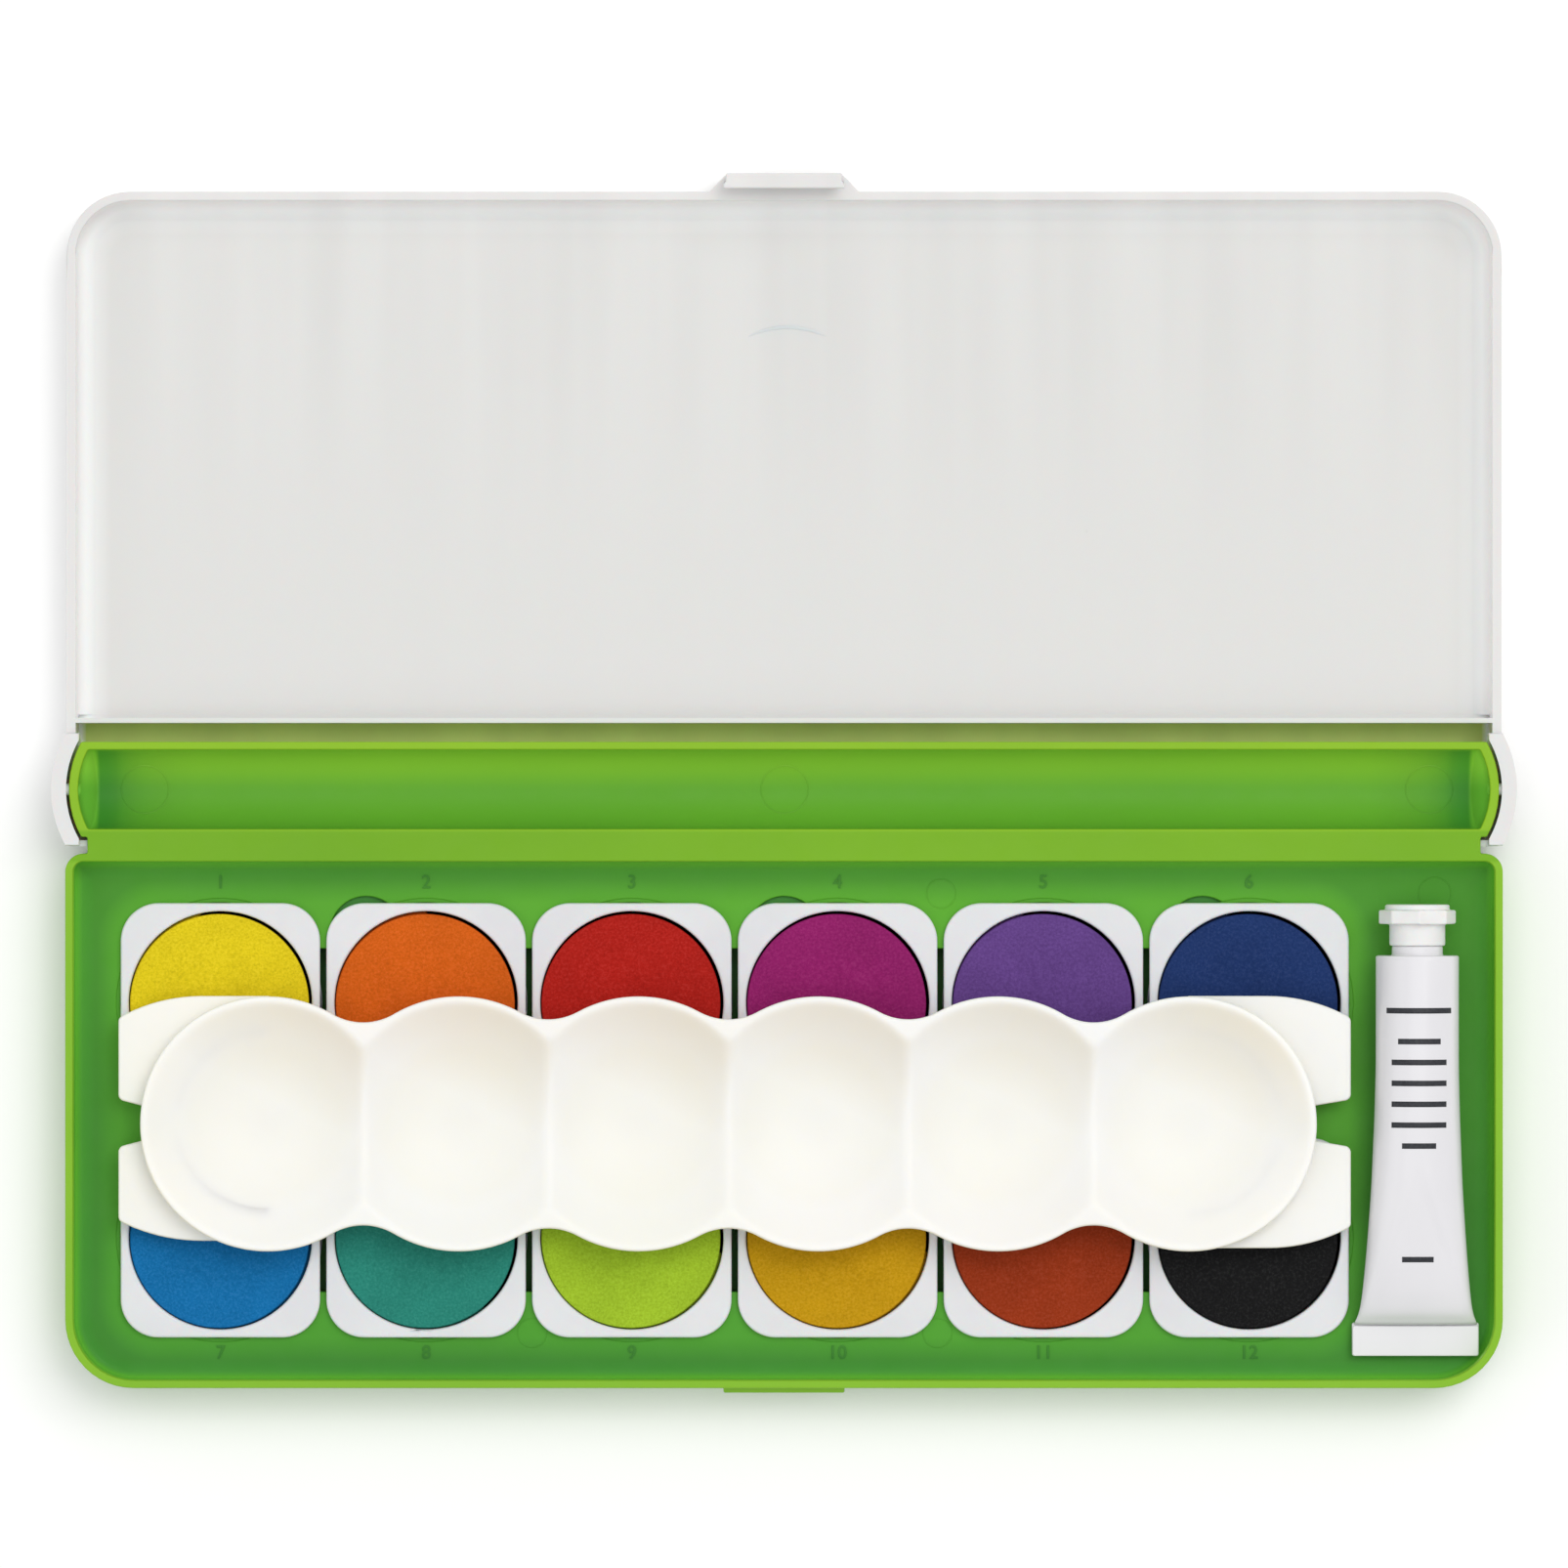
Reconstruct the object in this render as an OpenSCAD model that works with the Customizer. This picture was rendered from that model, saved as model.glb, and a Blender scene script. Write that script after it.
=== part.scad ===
// Gouache paint set box, shown open with its lid laid flat behind it.
// X runs along the hinge, +Y points to the lid and +Z up from the table.
// The origin is on the table, under the middle of the open box.

/* [Tray] */
// Width of the tray and of the lid
box_w = 237.2; // [230:0.2:244]
// From the hinge axis to the front face of the tray and of the open lid
reach = 98.8; // [97:0.1:106]
// Height of the tray's rim above the table
tray_h = 13; // [12.8:0.1:13.3]
// Wall of the tray at its rim
tray_wall = 1.3; // [1:0.05:1.5]
// Radius of the tray's front corners, seen from above
front_round = 11.3; // [8:0.1:13]
// Radius of the tray's back corners, seen from above
back_round = 3; // [2.7:0.1:5]
// Height of the deck's top face
deck_z = 7.2; // [6:0.1:7.4]
// Thickness of the deck and of the well walls and floors
deck_t = 1.2; // [0.9:0.05:1.5]
// Soft corner where the deck meets the wall
deck_cove = 1.4; // [0.8:0.1:1.6]
// From the hinge axis to the tray's back face
tray_back = 10.6; // [10.4:0.1:12]

/* [Brush trough] */
// Outside radius of the trough
trough_r = 7.85; // [7:0.05:7.95]
// Wall of the trough
trough_wall = 1.3; // [1:0.05:1.5]
// Thickness of the ledge that joins the trough to the tray
ledge_t = 1; // [0.8:0.1:1.2]
// Gap between the ledge's ends and the ears
ledge_gap = 0.8; // [0.4:0.1:3]
// Radius of the round ends inside the trough
end_r = 14; // [13:0.5:18]
// Thickness of the trough's ends at the rim
end_wall = 1.5; // [1.4:0.1:2]

/* [Hinge] */
// Height of the hinge axis above the table
axis_h = 11.3; // [11.1:0.1:11.5]
// Outside radius of the ears
ear_r = 9.3; // [9.25:0.05:9.6]
// How much larger the cover round the trough is than the ears, on the radius
cover_step = 0.1; // [0.05:0.05:0.2]
// How far the domed ears stand out from the lid's sides
ear_bulge = 2.4; // [1.8:0.1:3]
// Thickness of the ears
ear_t = 2.45; // [2:0.05:2.8]
// Gap between the ears and the trough's domed ends
ear_gap = 0.55; // [0.4:0.05:0.8]
// Height of the ears above the hinge axis
ear_top = 1.7; // [1.5:0.1:3]
// Radius of the hinge pins
pin_r = 1; // [0.8:0.05:1.1]
// Running clearance of the hinge pins, on the radius
pin_gap = 0.05; // [0.02:0.01:0.1]

/* [Lid] */
// Thickness of the lid's panel
panel_t = 1.2; // [1:0.05:1.5]
// Thickness of the cover round the trough
cover_t = 1; // [0.8:0.05:1.1]
// Wall of the lid at its rim
lid_wall = 1.5; // [1.2:0.1:1.8]
// Soft corner inside the lid, between panel and wall
lid_cove = 3; // [2:0.1:4]
// Rounding of the lid's outer edge
lid_edge = 2.4; // [1:0.1:2.6]
// Radius of the lid's front corners, seen from above
lid_round = 10.5; // [8:0.1:12]
// From the hinge axis to the line where the panel slopes down to the cover
slope_start = 12.4; // [12.2:0.1:15]
// From the hinge axis to the near face of the inner rib
rib_y = 11; // [10.8:0.1:11.4]
// Thickness of the inner rib
rib_t = 0.8; // [0.6:0.1:1]
// Gap left between the closed lid and the tray's rim
seat_gap = 0.1; // [0.05:0.05:0.3]

/* [Clasp] */
// Width of the clasp tab where it leaves the lid
tab_w = 24.6; // [20:0.2:30]
// How far the clasp tab stands out from the lid's front
tab_out = 2.8; // [2.4:0.1:3.4]
// Thickness of the clasp's spring plate
tab_t = 1.5; // [1.1:0.1:1.7]
// How far the clasp reaches past the lid's rim
hook_h = 5; // [4.6:0.1:5.4]
// Height of the clasp's inner lip
lip_h = 1.1; // [0.8:0.1:1.4]
// Width of the catch on the tray's front
catch_w = 20; // [12:0.2:24]
// How far the catch stands out
catch_out = 0.9; // [0.6:0.05:1]
// Clearance round the closed clasp
clasp_gap = 0.3; // [0.2:0.05:0.4]

/* [Colour pans] */
// Side of a square pan
pan_w = 33; // [31:0.1:33.6]
// Corner radius of a pan
pan_round = 6.3; // [4:0.1:8]
// Thickness of a pan's flange
flange_t = 1.2; // [0.9:0.1:1.5]
// From one pan to the next in a row
pan_pitch = 34.04; // [33.8:0.02:34.4]
// From the back row of pans to the front row
row_pitch = 38.9; // [37.6:0.1:40]
// Share of the tray's free width that lies left of the pans
pans_share = 0.94; // [0.1:0.01:0.95]
// How far the pans lie in front of the tray's middle
pans_shift = 0.05; // [-0.6:0.05:0.6]
// Outside radius of a pan's round cup
cup_r = 16.2; // [15.8:0.05:16.6]
// Radius of the round wells that the cups drop into
well_r = 17.2; // [16.9:0.05:17.6]
// From the middle of a row of pans to the sunken strip's edge
strip_out = 8.95; // [6:0.05:10]
// Radius of the three finger wells behind the pans
finger_r = 5.9; // [4:0.1:6.5]
// From one finger well to the next
finger_pitch = 69.2; // [66:0.1:72]
// How far the middle finger well lies right of the pans' middle
finger_shift = 8.2; // [6:0.1:10]
// From the pans' back edge to the middle of the finger wells
finger_in = 4.8; // [3.6:0.1:5.4]

/* [Paint tablets] */
// Diameter of a paint tablet
tablet_d = 30; // [28:0.1:30.2]
// Thickness of a tablet at its edge
tablet_h = 4.6; // [3.5:0.1:5]
// How far the tablet's face is dished
tablet_dish = 0.35; // [0.1:0.05:0.6]
// Slack between a tablet and its pan, on the radius
tablet_gap = 0.15; // [0.05:0.05:0.3]
// How far the tablet's edge lies below the pan's face
tablet_low = 0.5; // [0.2:0.1:1]

/* [Mixing palette] */
// Length of the palette over its end tabs
palette_l = 203.4; // [200:0.2:205]
// Outside radius of a mixing bowl
bowl_r = 21; // [20:0.1:21.6]
// From one bowl to the next
bowl_pitch = 29.64; // [29:0.02:30]
// How much further out the two end bowls lie
end_bowl_out = 1.8; // [0:0.1:2.4]
// Depth of a bowl
bowl_depth = 7.2; // [5:0.1:8.5]
// Width of the flat lip round the bowls
bowl_lip = 1; // [0.6:0.1:2]
// Wall of the palette
palette_t = 1.2; // [0.9:0.1:1.6]
// How much of each bowl's underside is cut flat as a foot
foot_cut = 0.35; // [0.2:0.05:0.5]
// Radius of the soft valleys between the bowls
valley_r = 10; // [6:0.5:12]
// Height of the end tabs above the palette's foot
tab_level = 4.2; // [2.5:0.1:6]
// Radius of the end tabs' curved sides
tab_curve = 28; // [24:0.5:40]
// How much narrower the palette is at its two end edges, on each side
tab_drop = 3.6; // [2.6:0.1:4.4]
// Half width of the finger notch at its mouth
notch_mouth = 3.9; // [3:0.1:5]
// Half width of the finger notch at the bowl
notch_root = 2.9; // [2:0.1:3.9]
// Shift of the bowls along the palette
bowls_x = -1; // [-1.5:0.1:1.5]
// Shift of the palette from the middle of the pans, towards the front
palette_y = 0.35; // [-1:0.05:1]

/* [White paint tube] */
// Gap between the tube's folded end and the tray's right wall
tube_margin = 2.4; // [1.8:0.1:2.6]
// Diameter of the tube's round end
tube_d = 13.7; // [12.6:0.1:13.9]
// Share of the tray's free length that lies behind the tube's cap
tube_share = 0.65; // [0.3:0.01:0.7]
// Length of the tube's sleeve with its fold
sleeve_l = 66.3; // [62:0.1:67]
// Length of the folded end
fold_l = 5.5; // [4:0.1:7]
// Thickness of the folded end
fold_t = 1.1; // [0.8:0.1:1.6]
// Height of the folded end above the deck
fold_rise = 0.8; // [0.7:0.1:1.2]
// Diameter over the corners of the cap's head
head_d = 12.8; // [11:0.1:13.2]
// Height of the cap's head
head_h = 3.2; // [2.6:0.1:4]
// Diameter of the cap's skirt
skirt_d = 9.2; // [8.8:0.1:10]
// Height of the cap's skirt
skirt_h = 3.6; // [3:0.1:4.5]
// Diameter of the collar under the cap
collar_d = 8.4; // [8:0.1:9]
// Height of the collar under the cap
collar_h = 1.6; // [1:0.1:2]
// Diameter of the tube's neck
neck_d = 6.4; // [5.4:0.1:6.8]
// Running clearance of the cap on the neck, on the radius
neck_gap = 0.05; // [0.02:0.01:0.1]
// Diameter of the opening in the neck
nozzle_d = 3; // [2:0.1:4]

/* [Hidden] */
$fn = 96;
eps = 0.01;

// Names and colours of the paints, back row first, each row from left to right.
paints = [
    ["yellow", [0.89, 0.81, 0.12]],
    ["orange", [0.85, 0.39, 0.08]],
    ["vermilion", [0.75, 0.12, 0.10]],
    ["magenta", [0.63, 0.12, 0.43]],
    ["violet", [0.41, 0.25, 0.59]],
    ["ultramarine", [0.14, 0.24, 0.45]],
    ["cyan_blue", [0.09, 0.45, 0.71]],
    ["blue_green", [0.15, 0.55, 0.45]],
    ["yellow_green", [0.59, 0.75, 0.15]],
    ["ochre", [0.78, 0.59, 0.06]],
    ["burnt_sienna", [0.63, 0.22, 0.09]],
    ["black", [0.12, 0.12, 0.13]]
];

// A row has as many pans as fit in the tray beside the tube.
row_paints = len(paints) / 2;
fold_w = PI * tube_d / 2 - fold_t / 2;
pans_room = box_w - 2 * tray_wall - fold_w - tube_margin;
columns = min(row_paints, floor((pans_room - pan_w) / pan_pitch) + 1);
held = [for (i = [0 : len(paints) - 1]) if (i % row_paints < columns) paints[i]];

green = [0.45, 0.70, 0.18];
lid_white = [0.90, 0.90, 0.89];
palette_white = [0.97, 0.96, 0.92];
pan_white = [0.90, 0.90, 0.91];
tube_white = [0.93, 0.93, 0.94];

// The whole box is moved so that the origin lies under the middle of its open length.
axis_y = (catch_out - tab_out) / 2;
side_x = box_w / 2;

// The lid: its depth follows from the axis height and the tray it has to meet.
lid_h = 2 * axis_h - tray_h - seat_gap;

// Ears, trough ends and their gap are spheres round one point on the hinge axis.
ear_sphere = (ear_r * ear_r + ear_bulge * ear_bulge) / (2 * ear_bulge);
dome_x = side_x + ear_bulge - ear_sphere;
ear_hollow = ear_sphere - ear_t;
trough_dome = ear_hollow - ear_gap;
cover_r = ear_r + cover_step;
cover_in = cover_r - cover_t;
ledge_x = dome_x + sqrt(ear_hollow * ear_hollow - ear_r * ear_r) - ledge_gap;

// Where the sloping part of the lid touches the round cover.
slope_far = norm([slope_start, axis_h]);
slope_turn = atan2(-axis_h, slope_start) - acos(cover_r / slope_far);

// Clasp: the closed lip lies just under the catch.
lip_top = 2 * axis_h - (lid_h + hook_h) + lip_h;
catch_z = lip_top + clasp_gap;
tab_tip_w = tab_w * 0.78;

// Pans, tablets and the wells round them.
pans_l = (columns - 1) * pan_pitch + pan_w;
pans_x = tray_wall - side_x + pans_share * (pans_room - pans_l) + pans_l / 2;
pans_y = (reach + tray_back) / 2 + pans_shift;
finger_y = pans_y - (row_pitch + pan_w) / 2 + finger_in;
strip_half = row_pitch / 2 + strip_out;
pan_floor = deck_z + flange_t - tablet_low - tablet_h;
tablet_r = tablet_d / 2;
cup_in = tablet_r + tablet_gap;
finger_x = [for (k = [-1:1]) pans_x + finger_shift + k * finger_pitch];

// Palette: bowls are parts of spheres, their shells stand on small flat feet.
bowl_rim = bowl_r - bowl_lip;
bowl_sphere = (bowl_rim * bowl_rim + bowl_depth * bowl_depth) / (2 * bowl_depth);
palette_z = deck_z + flange_t;
bowl_low = palette_z + palette_t - foot_cut;
palette_top = bowl_low + bowl_depth;
last_bowl = columns - 1;
bowl_x = [for (i = [0 : last_bowl]) (i - last_bowl / 2) * bowl_pitch
    + (i == 0 ? -end_bowl_out : i == last_bowl ? end_bowl_out : 0)];
palette_end = (palette_l - (row_paints - columns) * pan_pitch) / 2;

// Tube: its round end lies on the deck, and its folded end a little above it.
tube_r = tube_d / 2;
tube_z = deck_z + tube_r;
tube_x = side_x - tray_wall - tube_margin - fold_w / 2;
tube_l = head_h + skirt_h + collar_h + sleeve_l;
cap_y = tray_back + tray_wall + tube_share * (reach - tray_back - 2 * tray_wall - tube_l);
sleeve_y = cap_y + head_h + skirt_h + collar_h;
shoulder_t = 1;
slice_t = 0.3;

function pan_x(i) = pans_x + (i % columns - (columns - 1) / 2) * pan_pitch;
function pan_y(i) = -pans_y + (i < columns ? 1 : -1) * row_pitch / 2;

// Places its children in the hinge's own frame: Y = 0 is the hinge axis.
module from_axis() {
    translate([0, axis_y, 0]) children();
}

// Rectangle from (x0, y0) to (x1, y1) with its own radius at the low and at the high Y corners.
module plate_2d(x0, y0, x1, y1, r0, r1) {
    translate([x0, y0 + r0]) square([x1 - x0, y1 - y0 - r0 - r1]);
    translate([x0 + r0, y0]) square([x1 - x0 - 2 * r0, r0 + eps]);
    translate([x0 + r1, y1 - r1 - eps]) square([x1 - x0 - 2 * r1, r1 + eps]);
    for (x = [x0 + r0, x1 - r0]) translate([x, y0 + r0]) circle(r0);
    for (x = [x0 + r1, x1 - r1]) translate([x, y1 - r1]) circle(r1);
}

// Hollow corner between a floor at y = 0 and a wall at x = 0, on the side of negative x.
module cove_2d(r) {
    translate([-r, 0]) difference() {
        square([r + eps, r]);
        translate([0, r]) circle(r);
    }
}

// A quarter turn of a wall: the child is its section, with x measured from the corner's centre.
module corner(x, y, turn) {
    translate([x, y, 0]) rotate([0, 0, turn]) rotate_extrude(angle = 90) children();
}

// A straight run of a wall, its section facing outwards at the given turn.
module run(x, y, turn, length) {
    translate([x, y, 0]) rotate([0, 0, turn]) rotate([90, 0, 0])
        linear_extrude(length, center = true) children();
}

// Outline of a round-ended bar along X, with domed ends round the two dome centres.
module bar_2d(r, dome) {
    intersection() {
        square([2 * (dome_x + dome), 2 * r], center = true);
        union() {
            square([2 * dome_x, 2 * r], center = true);
            for (s = [-1, 1]) translate([s * dome_x, 0]) circle(dome);
        }
    }
}

// The lower half of that bar, turned round the hinge axis.
module half_bar(r, dome) {
    length = dome_x + dome;
    translate([0, 0, axis_h]) rotate([-90, 0, 0]) rotate([0, 90, 0])
        rotate_extrude(angle = 180) intersection() {
            rotate(90) bar_2d(r, dome);
            translate([0, -length]) square([r, 2 * length]);
        }
}

module axis_rod(x0, x1, r) {
    translate([x0, 0, axis_h]) rotate([0, 90, 0]) cylinder(r = r, h = x1 - x0);
}

// ---- tray ----

module tray_wall_2d(r) {
    translate([r - tray_wall, 0]) square([tray_wall, tray_h]);
    translate([r - tray_wall, deck_z]) cove_2d(deck_cove);
}

module tray_walls() {
    front = -reach + front_round;
    back = -tray_back - back_round;
    for (s = [0, 1]) mirror([s, 0, 0]) {
        corner(side_x - front_round, front, -90) tray_wall_2d(front_round);
        corner(side_x - back_round, back, 0) tray_wall_2d(back_round);
        run(side_x - front_round, (front + back) / 2, 0, back - front) tray_wall_2d(front_round);
    }
    run(0, front, -90, box_w - 2 * front_round) tray_wall_2d(front_round);
    run(0, back, 90, box_w - 2 * back_round) tray_wall_2d(back_round);
}

// Outline of all the wells, made larger by grow.
module wells_2d(grow) {
    for (i = [0 : len(held) - 1]) translate([pan_x(i), pan_y(i)]) circle(well_r + grow);
    for (x = finger_x) translate([x, -finger_y]) circle(finger_r + grow);
    translate([pan_x(0), -pans_y - strip_half - grow])
        square([(columns - 1) * pan_pitch, 2 * (strip_half + grow)]);
}

module deck() {
    inset = tray_wall / 2;
    translate([0, 0, deck_z - deck_t]) linear_extrude(deck_t) difference() {
        plate_2d(-side_x + inset, -reach + inset, side_x - inset, -tray_back - inset,
            front_round - inset, back_round - inset);
        wells_2d(0);
    }
    linear_extrude(deck_z - deck_t / 2) difference() {
        wells_2d(deck_t);
        wells_2d(0);
    }
    linear_extrude(deck_t) wells_2d(deck_t / 2);
}

// Inside of the trough: a half round with upright sides, its ends rounded towards the floor.
module trough_hollow() {
    r = trough_r - trough_wall;
    top = tray_h + 1;
    end_x = dome_x + trough_dome - end_wall - end_r;
    module section_2d() {
        translate([0, axis_h]) intersection() {
            union() {
                circle(r);
                translate([-r, 0]) square([2 * r, top - axis_h]);
            }
            translate([-r - 1, -r - 1]) square([2 * r + 2, r + 1 + top - axis_h]);
        }
    }
    along_x(2 * end_x) section_2d();
    for (s = [-1, 1]) intersection() {
        translate([s * (end_x + end_r / 2), 0, 0]) along_x(end_r) section_2d();
        translate([s * end_x, 0, tray_h]) sphere(end_r);
    }
}

// Half-round trough with domed ends, its upright walls and the ledge in front of it.
module trough() {
    difference() {
        union() {
            half_bar(trough_r, trough_dome);
            translate([0, 0, axis_h]) linear_extrude(tray_h - axis_h)
                bar_2d(trough_r, trough_dome);
            translate([-ledge_x, -tray_back - tray_wall / 2, tray_h - ledge_t])
                cube([2 * ledge_x, tray_back + tray_wall / 2 - trough_r + trough_wall / 2, ledge_t]);
        }
        trough_hollow();
        axis_rod(-side_x, side_x, pin_r + pin_gap);
    }
}

// Small ramp under which the lid's clasp snaps.
module catch() {
    flat = 0.8;
    slope = 1.6;
    translate([-catch_w / 2, -reach, catch_z]) rotate([90, 0, 90])
        linear_extrude(catch_w) polygon([
            [tray_wall / 2, 0], [-catch_out + 0.2, 0], [-catch_out, 0.2],
            [-catch_out, flat], [0, slope], [tray_wall / 2, slope]
        ]);
}

module base_tray() {
    color(green) from_axis() {
        tray_walls();
        deck();
        trough();
        catch();
    }
}

// ---- lid ----

module lid_wall_2d(r) {
    difference() {
        union() {
            translate([r - lid_wall, 0]) square([lid_wall, lid_h]);
            translate([r - lid_wall - lid_cove, 0]) square([lid_cove + eps, panel_t]);
            translate([r - lid_wall, panel_t]) cove_2d(lid_cove);
        }
        translate([r - lid_edge, 0]) difference() {
            translate([0, -1]) square([lid_edge + 1, lid_edge + 1]);
            translate([0, lid_edge]) circle(lid_edge);
            translate([-1, 0]) square([1, lid_edge]);
        }
    }
}

module lid_shell() {
    front = reach - lid_round;
    inset = lid_wall + lid_cove;
    for (s = [0, 1]) mirror([s, 0, 0]) {
        corner(side_x - lid_round, front, 0) lid_wall_2d(lid_round);
        run(side_x - lid_round, (front + slope_start) / 2, 0, front - slope_start)
            lid_wall_2d(lid_round);
    }
    run(0, front, 90, box_w - 2 * lid_round) lid_wall_2d(lid_round);
    linear_extrude(panel_t) {
        translate([-side_x + inset - eps, slope_start])
            square([2 * (side_x - inset + eps), front - slope_start]);
        translate([-side_x + lid_round, front - eps])
            square([box_w - 2 * lid_round, lid_round - inset + 2 * eps]);
        for (s = [-1, 1]) translate([s * (side_x - lid_round), front])
            circle(lid_round - inset + eps);
    }
}

// Section across the hinge of the space inside a cover of radius r whose panel lies at height z.
module cover_space_2d(r, z) {
    far = slope_start + 1;
    translate([0, axis_h]) circle(r);
    polygon([
        [0, axis_h],
        [r * cos(slope_turn), axis_h + r * sin(slope_turn)],
        [slope_start, z],
        [far, z],
        [far, axis_h]
    ]);
}

// Sections are drawn in Y and Z and run along X, centred.
module along_x(length) {
    rotate([90, 0, 90]) linear_extrude(length, center = true) children();
}

// The cover that lies under the trough while the lid is open and over it when it is closed.
module cover() {
    along_x(box_w - lid_wall) intersection() {
        difference() {
            cover_space_2d(cover_r, 0);
            cover_space_2d(cover_in, panel_t);
        }
        translate([-ear_r - 1, 0]) square([ear_r + 1 + slope_start, axis_h]);
    }
}

// Side plates between the ears and the lid's long walls.
module cheeks() {
    for (s = [-1, 1]) translate([s * (side_x - lid_wall / 2), 0, 0])
        along_x(lid_wall) difference() {
            intersection() {
                cover_space_2d(cover_r, 0);
                square([slope_start, lid_h]);
            }
            translate([0, axis_h]) circle(cover_r - cover_t / 2);
        }
}

module ears() {
    length = dome_x + ear_sphere;
    hollow_r = cover_in - 0.1;
    inner = dome_x + sqrt(ear_hollow * ear_hollow - hollow_r * hollow_r);
    for (s = [0, 1]) mirror([s, 0, 0]) {
        difference() {
            translate([0, 0, axis_h]) rotate([0, 90, 0]) rotate_extrude() difference() {
                intersection() {
                    translate([0, inner]) square([ear_r, length - inner]);
                    translate([0, dome_x]) circle(ear_sphere);
                }
                translate([0, dome_x]) circle(ear_hollow);
            }
            translate([dome_x, -ear_r - 1, axis_h + ear_top])
                cube([ear_sphere + 1, 2 * ear_r + 2, ear_r]);
        }
        axis_rod(dome_x + trough_dome - trough_wall, dome_x + ear_hollow + ear_t / 2, pin_r);
    }
}

module rib() {
    translate([-side_x + lid_wall / 2, rib_y, panel_t / 2])
        cube([box_w - lid_wall, rib_t, lid_h - panel_t / 2]);
}

// Clasp tab with its spring plate and the lip that snaps under the catch.
module clasp() {
    half = tab_w / 2;
    tip = tab_tip_w / 2;
    out = reach + tab_out;
    plate = out - tab_t;
    lip = reach + clasp_gap;
    low = lid_edge;
    module outline_2d() {
        polygon([
            [-half, reach - lid_wall / 2], [-half, reach], [-tip - 1, out - 0.9], [-tip, out],
            [tip, out], [tip + 1, out - 0.9], [half, reach], [half, reach - lid_wall / 2]
        ]);
    }
    translate([0, 0, low]) linear_extrude(lid_h - low) outline_2d();
    translate([0, 0, low]) linear_extrude(lid_h + hook_h - low) intersection() {
        outline_2d();
        translate([-tip, plate]) square([2 * tip, tab_t + 1]);
    }
    translate([-catch_w / 2, lip, lid_h + hook_h - lip_h])
        cube([catch_w, plate - lip + eps, lip_h]);
}

module lid() {
    color(lid_white) from_axis() {
        lid_shell();
        cover();
        cheeks();
        ears();
        rib();
        clasp();
    }
}

// ---- pans and paint ----

module pan(i) {
    bottom = deck_t;
    edge = 0.8;
    color(pan_white) from_axis() translate([pan_x(i), pan_y(i), 0]) difference() {
        union() {
            half = pan_w / 2;
            translate([0, 0, deck_z]) linear_extrude(flange_t)
                plate_2d(-half, -half, half, half, pan_round, pan_round);
            translate([0, 0, bottom + edge]) cylinder(r = cup_r, h = deck_z - bottom - edge + eps);
            translate([0, 0, bottom]) cylinder(r1 = cup_r - edge, r2 = cup_r, h = edge + eps);
        }
        translate([0, 0, pan_floor]) cylinder(r = cup_in, h = deck_z + flange_t);
    }
}

// A pressed tablet: a bevelled edge, a thin raised ring and a shallow dished face.
module tablet(i) {
    bevel = 0.3;
    ring = 1.1;
    color(held[i][1]) from_axis() translate([pan_x(i), pan_y(i), pan_floor])
        rotate_extrude() polygon([
            [0, 0], [tablet_r, 0], [tablet_r, tablet_h - bevel], [tablet_r - bevel, tablet_h],
            [tablet_r - ring, tablet_h], [tablet_r - ring - bevel, tablet_h - tablet_dish],
            [0, tablet_h - tablet_dish]
        ]);
}

// ---- palette ----

// Outline of the bowls with soft valleys between them.
module bowls_2d() {
    for (x = bowl_x) translate([x, 0]) circle(bowl_r);
    for (i = [0 : last_bowl - 1]) {
        half = (bowl_x[i + 1] - bowl_x[i]) / 2;
        middle = (bowl_x[i + 1] + bowl_x[i]) / 2;
        reach_y = sqrt(pow(bowl_r + valley_r, 2) - half * half);
        touch = bowl_r / (bowl_r + valley_r);
        translate([middle, 0]) difference() {
            square([2 * half * (1 - touch), 2 * reach_y * touch], center = true);
            for (s = [-1, 1]) translate([0, s * reach_y]) circle(valley_r);
        }
    }
}

// One end tab, towards +X, with its finger notch.
module end_tab_2d(bowl_end) {
    arc_x = palette_end - sqrt(tab_curve * tab_curve - pow(tab_curve - tab_drop, 2));
    difference() {
        intersection() {
            translate([bowl_end, -bowl_r]) square([palette_end - bowl_end, 2 * bowl_r]);
            union() {
                translate([bowl_end, -bowl_r]) square([arc_x - bowl_end, 2 * bowl_r]);
                intersection_for (s = [-1, 1])
                    translate([arc_x, s * (bowl_r - tab_curve)]) circle(tab_curve);
            }
        }
        polygon([
            [bowl_end + bowl_r - 4, -notch_root], [bowl_end + bowl_r, -notch_root],
            [palette_end + 1, -notch_mouth], [palette_end + 1, notch_mouth],
            [bowl_end + bowl_r, notch_root], [bowl_end + bowl_r - 4, notch_root]
        ]);
    }
}

module palette() {
    sphere_z = bowl_low + bowl_sphere;
    color(palette_white) from_axis()
        translate([pans_x, -pans_y - palette_y, 0]) difference() {
            union() {
                translate([bowls_x, 0, palette_top - palette_t]) linear_extrude(palette_t) bowls_2d();
                for (x = bowl_x) translate([x + bowls_x, 0, 0]) intersection() {
                    translate([0, 0, sphere_z]) sphere(bowl_sphere + palette_t);
                    translate([0, 0, palette_z]) cylinder(r = bowl_r, h = palette_top - palette_z);
                }
                for (s = [0, 1]) translate([0, 0, palette_z + tab_level - palette_t])
                    mirror([s, 0, 0]) linear_extrude(palette_t)
                        end_tab_2d(bowl_x[last_bowl] + (s == 0 ? bowls_x : -bowls_x));
            }
            for (x = bowl_x) translate([x + bowls_x, 0, sphere_z]) sphere(bowl_sphere);
        }
}

// ---- tube of white paint, lying along Y with its cap to the back ----

// Places its children with Z along the tube, from the cap's top towards the fold.
module along_tube(start) {
    translate([tube_x, -start, tube_z]) rotate([90, 0, 0]) children();
}

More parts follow.
